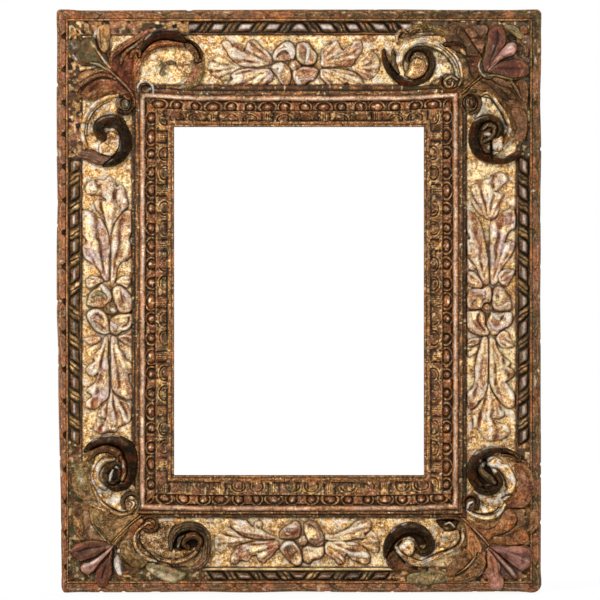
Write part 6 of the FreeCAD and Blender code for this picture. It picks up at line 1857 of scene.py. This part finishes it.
        "stile_scroll": """
@463,448
shape gold 6.5 .25 23,10 33,8 44,15 52,26 54,40 50,47 44,53 41,61 31,67 19,69 9,66 4,59 13,51 8,43 17,38
31,30
daub mauve .55 21,55,2.4 28,56,2.6 35,23,2 40,27
shape gold 9 .2 24,16 29,11 35,9 42,13 49,21 53,31 53,41 48,47 42,46 44,38 41,29 35,22 28,20
cut umber .9 29,19,.7 36,22,.8 41,30 43,39,.7
daub mauve .6 34,19,1.6 39,24,1.8
cut soot 2 39,50,1.2 45,47,1.8 50.5,48,1.3
band pale_gold .1 3,56,1.2,10.5 5,63,2,12 13,68,2.7,13 23,70.3,3,13.8 32,68.3,2.8,13.8 38.5,63,2.4,13.2
42,56.5,2,12
cut soot 1.6 10,64.5,.8 19,66,.9 29,64.5,1 36,59.5,.9
band umber .15 56,12.5,2.4,11 49,7.5,3.4,12.2 41,6.5,3.6,13
band soot .1 58,12,1.6,11 50,5,2.8,12.6 40,2,3.8,13.6 30,2,4.8,14.6 20,5.2,6,15 13,11.5,6.5,15.4
9.3,20,6.2,15.4 9.8,30,5.6,15.2 15,38.2,5,14.8 24,42.5,4.5,14.5 32,40,4,14.5 36,33.5,3,14.5 34,27,2.4,14
daub slate .6 17,3,2.4 29,.5,2 10,10 6,18,1.4
daub dull_gold .7 47,4,.8 53,8.5 57,12.5,.7
band slate .1 21.5,15,2.2,11.5 17.5,20.5,3,13 21,26,4,14.2 27,30.5,4.5,14.6 32,34.5,3.4,14.5
cut soot 1.2 23,22.5,.8 29.5,28 34,34,.7
cut soot 2.6 11.5,33,1.6 15.5,37.5,1.8 21,39,1.4
daub dull_gold .7 23,33,.9 26.5,36.5,1.2
daub silver .7 17,12.5,.9 20.5,18,.8 16,17,.6
band umber .75 7.5,54,7.4,9.8 8,56
band soot .1 1.5,60,1.7,11.5 .5,52.5,1.9,12.5 5,47.5,2,13 11.5,48 14.6,53.5,2,12.8 13,60.5,1.8,12
band silver .1 4.5,60,1.5,11.5 6,55.5,2.1,12.8 9.5,54,1.6,12.8
daub rose .5 11,56,1.1 9,60,1.2
""",
        "corner_leaf": """
@445,462
shape maroon 10.6 .1 68,3 74,0 82,3 88,12 90,23 88,35 82,45 73,51 66,47 61,41 67,35 72,26 72,15
daub rose .8 76,8,2.6 80,18,3.2 79,28 75,38,2.8
cut umber .7 76,5,.6 83,15,.7 85,27 80,40,.6
shape umber 10.4 0 18,56 31,59 43,60 53,57 60,48 66,46 75,46 85,46 93,51 94,62 90,69 83,74 84,79 79,82 69,84
57,84 47,83 42,89 42,101 38,111 31,117 19,122 7,121 0,116 1,106 8,98 16,91 21,84 21,74 19,65
lobe slate 12.4 .15 69,49 77,47 85,46.6 86,54 83,62 75,65 69,68 72,59
daub mauve .7 75,53,2.6 76,61,2.4
cut soot 2 80.6,49.6,.8 80.4,53,1.1
lobe umber 12.8 .3 84,52 88,48.6 93,52 94,59 91,67 85,72 79,75 73,76 77,70 83,64
daub rose .8 91.6,55,.9 91,62,1.1 87,68
daub sage .7 81,72.6,1 90.6,52,.7
daub bole .7 84,66,2 85,60,1.6
lobe bole 12.6 .15 44,71 52,74 60,73.6 68,71 75,68 82,69 84,76 81,81 72,83 61,83 53,80 48,77
daub umber .7 58,77,2 68,76,2.4 76,72,2
daub amber .8 66,69.4,1.4 71,66.4,1.5 74,64,1
daub rose .8 56,80.4,.8 63,81,.9 70,81.4,.8 78,79.6,.9
daub amber .7 58,79,.8 75,81,.7
lobe bole 13.8 .1 19,57 25,61 31,65 38,67 45,67 51,64 55,57 58,50 62,46.6 66.6,47.6 70.4,52 71.6,57.6
69.4,63.6 64,68.6 57,72 49,74 43,78 37,74 29,67
daub olive .5 50,63,2 57,58,2.4 60,64
daub rose .55 40,70,2 35,69,1.4 63,52,1.6 68,58,1.2
daub dull_gold .6 45,65,1.4 52,61,1.2
cut umber 1 71.6,59,.6 68,65,.7 62,70 55,73,.6
lobe amber 13.2 .15 19,60 23,63 28,69 32,75 35,81 37,88 33,94 27,98 21,94 22,87 22,78 21,69
daub bole .7 24,67,1.6 29,73 33,84,2
daub rose .85 26,78,2 27,82
daub umber .7 23,89,2 29,92
lobe umber 13.6 .1 19,86 25,90 27,96 23,102 16,108 10,113 4,114.6 1.6,111 3,105 9,99 15,92
daub maroon .5 11,101,2 17,95,1.8
daub moss .6 7,109,2 16,101
lobe olive 13.4 .1 33,90 39,95 41,101 37,109 30,115 21,118 12,119 9,116 15,111 22,105 28,98
daub amber .6 27,105,1.4 19,112,1.6
daub mahogany .6 33,101,1.8 26,110 16,116,1.4
band gold .5 30.6,89,.8,14 29.6,95,.9,14.2 24,102.6,1,14 17,108.6,.9,13.8 11,112,.7,13.2
cut soot 1.2 31.6,96,.7 26,104,.8 18,110.6 11,114.6,.7
daub rose .7 33,87,1.2 37,91,1.6 37,98,1.4
daub chalk .85 36.4,105,1 38,109,1.2 34,113.6,1.3
daub sage .85 29,116.6,1 22,118.6 12,120.6,1.1
daub gold .8 2,117,.9 6,116,1
band rose .3 17,56,1.1,12.4 27,65,1.2,14 36,74,1.3,14.2 43.5,83,1.2,13
daub chalk .5 28,66,.5 40,78.6,.7
""",
        "palmette": """
@484,544
shape soot 9.6 0 1,5 8,0 18,0 30,1 42,1 49,6 50,16 45,24 39,27 37,35 28,36 21,33 20,44 13,47 6,45 3,36 0,28
2,16
lobe maroon 14 .25 7,3.6 14,1.6 22,2.4 30,1.4 38,1.6 45,5.6 49.4,12 47,19 43,24 37,26.6 30,22 23,16 16,10.6
11,7.6
daub rose .85 28,4.6,2 34,6,2.6 41,7.4,1.6
daub pink .55 22,5.6,1.6 32,10,1.8 44,18,1.6 37,22
daub slate .85 38,13,1.4 42,12.6,1.8 45,13.6,1.2
daub pink .8 13,6,.6 22,8.6 30,11.6 37,14.6
cut maroon .8 16,4,.6 26,7.6,.7 36,11
cut maroon .8 15,9,.6 24,14.6,.7 34,22
lobe rose 13.6 .15 4,7 2,14 3.6,22 1,28 3,33.4 6.6,36 5,41 9,45.4 15,45.6 19,41.6 20,36 16,30 16.6,22
13.6,16 10,9
daub maroon .75 6,14,1.6 8,22,1.8 6,29,1.6
daub soot .7 13,22,1 15,30,1.2 15.4,36,1
daub pink .6 10,39,1.8 14,42
cut soot 1 11,12,.6 13.6,20,.8 15,29,.9
cut maroon .7 6.6,12,.6 8.6,22,.7 10.6,33
cut soot 3 2.4,7,.8 2,14,1.2 1.6,22,1
daub rose .7 19,34,1 23,29,1.2
band maroon .3 6,5,1.4,13 13,12,2.2,14.4 20,19.5,2.6,15.2 26.5,26.5,3.2,15.6 31,32,3,15.2
daub pink .85 10,8,.8 16,14,.9
daub silver .9 18,16.6,.8 22.6,22,1.2 27.5,27.6,1.5 30,31,1
daub umber .9 32.5,33.5,2 35.4,30.6,2.2 36.6,27.4,1.2
daub chalk .85 .5,5.5,.8 4.5,5.5,.9
band sage .4 24,38,1.2,10.4 28,38.5,1.5,10.8 32,37.5,1,10.4
""",
    },
}


# %% [markdown]
# Each corner piece is a thick carving glued on the board. Its block is as large as the drawing
# needs, what stays low is left out, and what is left is let into the board by a millimetre.
# A thin glaze over the whole piece gives each corner the tone that it has in the photograph.

# %% Corner ornaments
CORNER_STEP = 0.75 * MM
# pixels of the block around the drawn points
CORNER_MARGIN = 8
# height of the board that the corners are glued on, how deep they are let into it, and how
# many mm a carving stands up at least
BOARD_FACE, LET_IN, LOWEST_CARVING = 33 * MM, 1 * MM, 1.6
# slot, finish, greatest height in mm and share of the corner's own washes
CORNER_FINISHES = {
    "rail_scroll": ("scroll", SCROLL_FINISH, 15.6, 0), "stile_scroll": ("scroll", SCROLL_FINISH, 15.6, 0),
    "corner_leaf": ("corner_leaf", LEAF_FINISH, 14.4, 0.2),
    "palmette": ("palmette", PETAL_FINISH, 15.6, 0.08)}
# thin glaze over a whole piece, and how much of it
CORNER_GLAZES = {
    ("corner_leaf", "top_left"): ("mahogany", 0.62), ("corner_leaf", "top_right"): ("umber", 0.8),
    ("corner_leaf", "bottom_right"): ("amber", 0.2), ("corner_leaf", "bottom_left"): ("gold", 0.1),
    ("palmette", "bottom_right"): ("pink", 0.22), ("palmette", "top_right"): ("maroon", 0.2)}


def corner_ornament(kind, corner, strokes, seed):
    """One carving of a corner, as large as its drawn points need and let into the board."""
    slot, material, most, washed = CORNER_FINISHES[kind]
    drawn = np.array([row[:2] for stroke, _, _, rows in strokes if stroke != "daub" for row in rows])
    low, high = drawn.min(0) - CORNER_MARGIN, drawn.max(0) + CORNER_MARGIN
    size = (high - low) * PIXEL
    columns, rows = (size / CORNER_STEP).astype(int)

    def place(u, v):
        return ((low[0] - CENTRE_X) * PIXEL + (u + 1) / 2 * size[0],
                (CENTRE_Y - high[1]) * PIXEL + (v + 1) / 2 * size[1])

    carving = Carving(f"{kind}_{corner}_carved", columns, rows, place)
    carving.coat("umber")
    draw(carving, strokes)
    corner_wash(carving, corner, washed, seed + 3)
    if (kind, corner) in CORNER_GLAZES:
        glaze, cover = CORNER_GLAZES[kind, corner]
        carving.wash(glaze, cover * carving.patches(slice(None), 8, seed + 5, -0.8, 0.2))
    raised = carving.lift > LOWEST_CARVING * MM
    carving.lift += raised * 0.3 * MM * uneven(carving.x / MM, carving.z / MM, 6, seed)
    carving.lift = np.minimum(carving.lift, most * MM)
    carving.make(f"{kind}_{corner}", slot, material, BOARD_FACE, BOARD_FACE - LET_IN, LOWEST_CARVING)


for corner_number, (corner, drawing) in enumerate(CORNERS.items()):
    for kind_number, (kind, text) in enumerate(drawing.items()):
        corner_ornament(kind, corner, strokes_of(text), 900 + corner_number * 40 + kind_number * 10)

# %% [markdown]
# Nothing behind the frame is carved, so pegs and hardware stay as they were measured and only
# get a finish. The carcass is old pine: rings along the length of each board, darker in the
# dents and dusty. Rails and stiles get the same wood turned a quarter, as grain follows the board.

# %% Bare wood
PORE, DUST = linear(52, 34, 20), linear(150, 134, 112)
# how much longer the figure of the wood is along the grain than across it
RING_STRETCH = 22


def drawn_out(place, scale):
    """The place with its own scale along each axis, so that a texture on it is drawn out."""
    node = add_node(place.id_data, "ShaderNodeMapping", Scale=scale)
    plug(place, node, "Vector")
    return node.outputs[0]


def bare_wood(name, along, pale, dark, ring=7):
    """Old unpainted wood whose grain runs along one axis: 0 for x, 1 for y, 2 for z."""
    material, place, shader = new_material(name)
    scale = [1 / (ring * MM)] * 3
    scale[along] /= RING_STRETCH
    fibre = drawn_out(place, scale)
    pores = noise(fibre, 1 / 9, 2, 0.5)
    grain = stretch(noise(fibre, 1, 3, 0.5, Distortion=0.6), 0.38, 0.62)
    pored = mix(stretch(pores, 0.56, 0.7, 0, 0.5), mix(grain, pale, dark), PORE)
    dusty = stretch(noise(place, 40 * MM, 4), 0.45, 0.7, 0, 0.35)
    plug(mix(dusty, pored, DUST), shader, "Base Color")
    plug(stretch(grain, 0, 1, 0.85, 0.66), shader, "Roughness")
    emboss(shader, sums("SUBTRACT", grain, pores), 0.5, 0.4 * MM)
    return material


PINE_PALE, PINE_DARK = linear(166, 124, 82), linear(104, 70, 42)
PINE_ACROSS = bare_wood("pine_rail", 0, PINE_PALE, PINE_DARK)
PINE_UPRIGHT = bare_wood("pine_stile", 2, PINE_PALE, PINE_DARK)
OAK_PEG = bare_wood("oak_peg", 1, linear(120, 84, 50), linear(70, 46, 28), ring=2.4)
print("woods", PINE_ACROSS.name, PINE_UPRIGHT.name, OAK_PEG.name)

# %% [markdown]
# The carcass is worn to the same outline as the carving in front of it. A loose copy of each
# board is cut by flat planes, as a rasp would take the corners off, and each cut is closed.

# %% Worn boards
SET_BACK = 1.0 * MM
# degrees of the flats that a rasp leaves on a rounded corner
RASP_TURNS = (12, 34, 56, 78)
SAME_POINT = 0.001 * MM


def cut_away(bm, place, outward):
    """Takes off what lies beyond a plane in the front view and closes the cut."""
    cut = bmesh.ops.bisect_plane(bm, geom=bm.verts[:] + bm.edges[:] + bm.faces[:], dist=SAME_POINT,
                                 plane_co=(place[0], 0, place[1]), plane_no=(outward[0], 0, outward[1]),
                                 clear_outer=True)["geom_cut"]
    edges = [g for g in cut if isinstance(g, bmesh.types.BMEdge) and g.is_boundary]
    if edges:
        bmesh.ops.edgeloop_fill(bm, edges=edges)


def worn_board(name, material):
    """Pine board set back behind the carving and worn to the outline of the frame."""
    bm = bmesh.new()
    bm.from_mesh(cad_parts[name].data)
    bmesh.ops.remove_doubles(bm, verts=bm.verts, dist=SAME_POINT)
    wide, high = HALF_WIDTH - SET_BACK, HALF_HEIGHT - SET_BACK
    for side in (-1, 1):
        cut_away(bm, (side * wide, 0), (side, 0))
        cut_away(bm, (0, side * high), (0, side))
    cut_away(bm, (-wide, LEAN_START), (-1, -LEAN / (LEAN_START + HALF_HEIGHT)))
    for corner, radius in CORNER_ROUND.items():
        right, up = signs_of(corner)
        lean = LEAN if corner == "bottom_left" else 0
        for turn in RASP_TURNS:
            outward = right * math.cos(math.radians(turn)), up * math.sin(math.radians(turn))
            centre = right * (wide - radius - lean), up * (high - radius)
            cut_away(bm, (centre[0] + outward[0] * radius, centre[1] + outward[1] * radius), outward)
    bmesh.ops.dissolve_limit(bm, angle_limit=math.radians(1), verts=bm.verts, edges=bm.edges)
    bmesh.ops.recalc_face_normals(bm, faces=bm.faces)
    mesh = mesh_of(bm, name + "_worn")
    mesh.materials.append(material)
    board = in_scene(name + "_worn", mesh)
    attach(board, "frame")
    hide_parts(name)
    print(board.name, len(mesh.polygons), "faces")


for board_name, wood in (("back_rail_top", PINE_ACROSS), ("back_rail_bottom", PINE_ACROSS),
                         ("back_stile_left", PINE_UPRIGHT), ("back_stile_right", PINE_UPRIGHT)):
    worn_board(board_name, wood)

# %% [markdown]
# The hardware is bought: cast brass turn buttons gone dull and brown, and zinc coated steel for
# the straps, rings and screws. Metal that is handled has fine scratches, and the coating
# shows cloudy patches where it has aged.

# %% Old metal
GRIME = linear(58, 46, 34)
# scratches per metre along x, y and z
SCRATCHES = (180, 900, 2600)


def old_metal(name, bright, tarnish, patch, rough):
    """Metal with cloudy tarnish in patches of about `patch` metres and fine scratches."""
    material, place, shader = new_material(name)
    cloud = stretch(noise(place, patch, 5, 0.65), 0.4, 0.62)
    specks = stretch(noise(place, 0.9 * MM), 0.6, 0.7)
    scratches = noise(drawn_out(place, SCRATCHES), 1, 2, 0.5)
    plug(mix(times(specks, 0.5), mix(cloud, bright, tarnish), GRIME), shader, "Base Color")
    plug(stretch(sums("ADD", cloud, scratches), 0.3, 1.4, rough, rough + 0.3), shader, "Roughness")
    plug(1.0, shader, "Metallic")
    emboss(shader, scratches, 0.25, 0.1 * MM)
    return material


BRASS = old_metal("dull_brass", linear(196, 156, 86), linear(122, 88, 46), 5 * MM, 0.3)
ZINC = old_metal("zinc_coat", linear(196, 196, 192), linear(132, 132, 128), 4 * MM, 0.32)
STEEL = old_metal("dull_steel", linear(170, 166, 158), linear(106, 98, 88), 2 * MM, 0.28)
print("metals", BRASS.name, ZINC.name, STEEL.name)

# %% [markdown]
# Pegs, screws, buttons, straps and rings are small and stay plain solids. A finish by the
# start of their name is enough, since all of one kind came from the same box.

# %% Finish of the plain solids
PLAIN_FINISHES = {"lap_pegs": OAK_PEG, "turn_button_screws": STEEL, "hanger_screws": STEEL,
                  "turn_button": BRASS, "strap_hanger": ZINC, "d_ring": ZINC}

for name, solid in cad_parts.items():
    for start, material in PLAIN_FINISHES.items():
        if name.startswith(start):
            for place in solid.material_slots:
                place.material = material
            print(name, "wears", material.name)
            break

# %% [markdown]
# The photograph was taken from straight in front with a long lens, so nothing leans. The
# camera stands eight metres off and its lens is picked so that a pixel is 1.2 mm.

# %% Camera
CAMERA_AWAY = 8.0
SENSOR = 36.0
PICTURE_PIXELS = 600
FACE_DEPTH = 0.038

camera_data = bpy.data.cameras.new("camera")
camera_data.type = "PERSP"
camera_data.sensor_width = SENSOR
camera_data.lens = SENSOR * (CAMERA_AWAY - FACE_DEPTH) / (PICTURE_PIXELS * PIXEL)
camera_data.clip_end = 100
camera = in_scene("camera", camera_data)
middle = PICTURE_PIXELS / 2
camera.location = ((middle - CENTRE_X) * PIXEL, -CAMERA_AWAY, (CENTRE_Y - middle) * PIXEL)
camera.rotation_euler = (math.pi / 2, 0, 0)
bpy.context.scene.camera = camera
print("lens", round(camera_data.lens, 1), "mm")

# %% [markdown]
# A studio shot of a gilded frame needs one large soft light near the camera, a little above
# it, so that ridges shine and hollows stay dark, and two weaker ones at the sides.

# %% Lights
LAMPS = {
    "key_light": ((-0.9, -2.4, 1.3), 0.8, 57),
    "left_light": ((-2.2, -1.2, -0.2), 0.9, 15),
    "right_light": ((2.2, -1.4, 0.3), 0.9, 15),
    "back_light": ((0.8, 2.4, 1.4), 1.2, 40),
}


def lamp(name, place, size, power):
    """Round lamp that shines at the middle of the frame and isn't seen itself."""
    data = bpy.data.lights.new(name, "AREA")
    data.shape, data.size, data.energy = "DISK", size, power
    light = in_scene(name, data)
    light.location = place
    light.rotation_euler = (-light.location).to_track_quat("-Z", "Y").to_euler()
    light.visible_camera = False


for name, (place, size, power) in LAMPS.items():
    lamp(name, place, size, power)
    print(name, power, "watts")

# %% [markdown]
# The photograph has no room around the frame. The floor and the world are plain white to the
# camera and in reflections, but they light the frame only softly, and the floor still takes
# the frame's shadow.

# %% Floor and world
FLOOR_SIZE = 12
FLOOR_GAP = 0.5 * MM
WORLD_LEVEL = 0.3
FLOOR_GLOW = 1.06
# near the frame the floor's own glow keeps this share, and it grows to 1 between two distances
GLOW_SHARE = 0.85
GLOW_FADE = (0.8, 3.0)


def white_to_camera(tree):
    """1 for rays from the camera, from gloss and from glass, and 0 for the light itself."""
    rays = add_node(tree, "ShaderNodeLightPath").outputs
    seen = sums("MAXIMUM", rays["Is Camera Ray"], rays["Is Glossy Ray"])
    return sums("MAXIMUM", seen, rays["Is Transmission Ray"])


world = bpy.data.worlds.new("studio")
world.use_nodes = True
bpy.context.scene.world = world
sky = world.node_tree.nodes["Background"]
plug((1, 1, 1, 1), sky, "Color")
plug(stretch(white_to_camera(world.node_tree), 0, 1, WORLD_LEVEL, 1), sky, "Strength")

bm = bmesh.new()
bmesh.ops.create_grid(bm, x_segments=1, y_segments=1, size=FLOOR_SIZE / 2)
bmesh.ops.translate(bm, verts=bm.verts, vec=(0, 0, cad_low.z - FLOOR_GAP))
floor = in_scene("floor", mesh_of(bm, "floor"))
floor_finish, place, shader = new_material("pale_floor")
tree = floor_finish.node_tree
plug((0.8, 0.8, 0.8, 1), shader, "Base Color")
plug(0.9, shader, "Roughness")
glow = add_node(tree, "ShaderNodeEmission", Color=(1, 1, 1, 1), Strength=FLOOR_GLOW)
blend = add_node(tree, "ShaderNodeMixShader")
away = add_node(tree, "ShaderNodeVectorMath", operation="LENGTH")
plug(place, away, 0)
share = stretch(away.outputs["Value"], *GLOW_FADE, GLOW_SHARE, 1)
plug(times(white_to_camera(tree), share), blend, 0)
plug(shader.outputs[0], blend, 1)
plug(glow.outputs[0], blend, 2)
plug(blend.outputs[0], tree.nodes["Material Output"], "Surface")
floor.data.materials.append(floor_finish)

# %% [markdown]
# Paint colours should reach the picture as they were mixed, so the view adds no curve of its own.

# %% Finish
bpy.context.scene.view_settings.view_transform = "Standard"
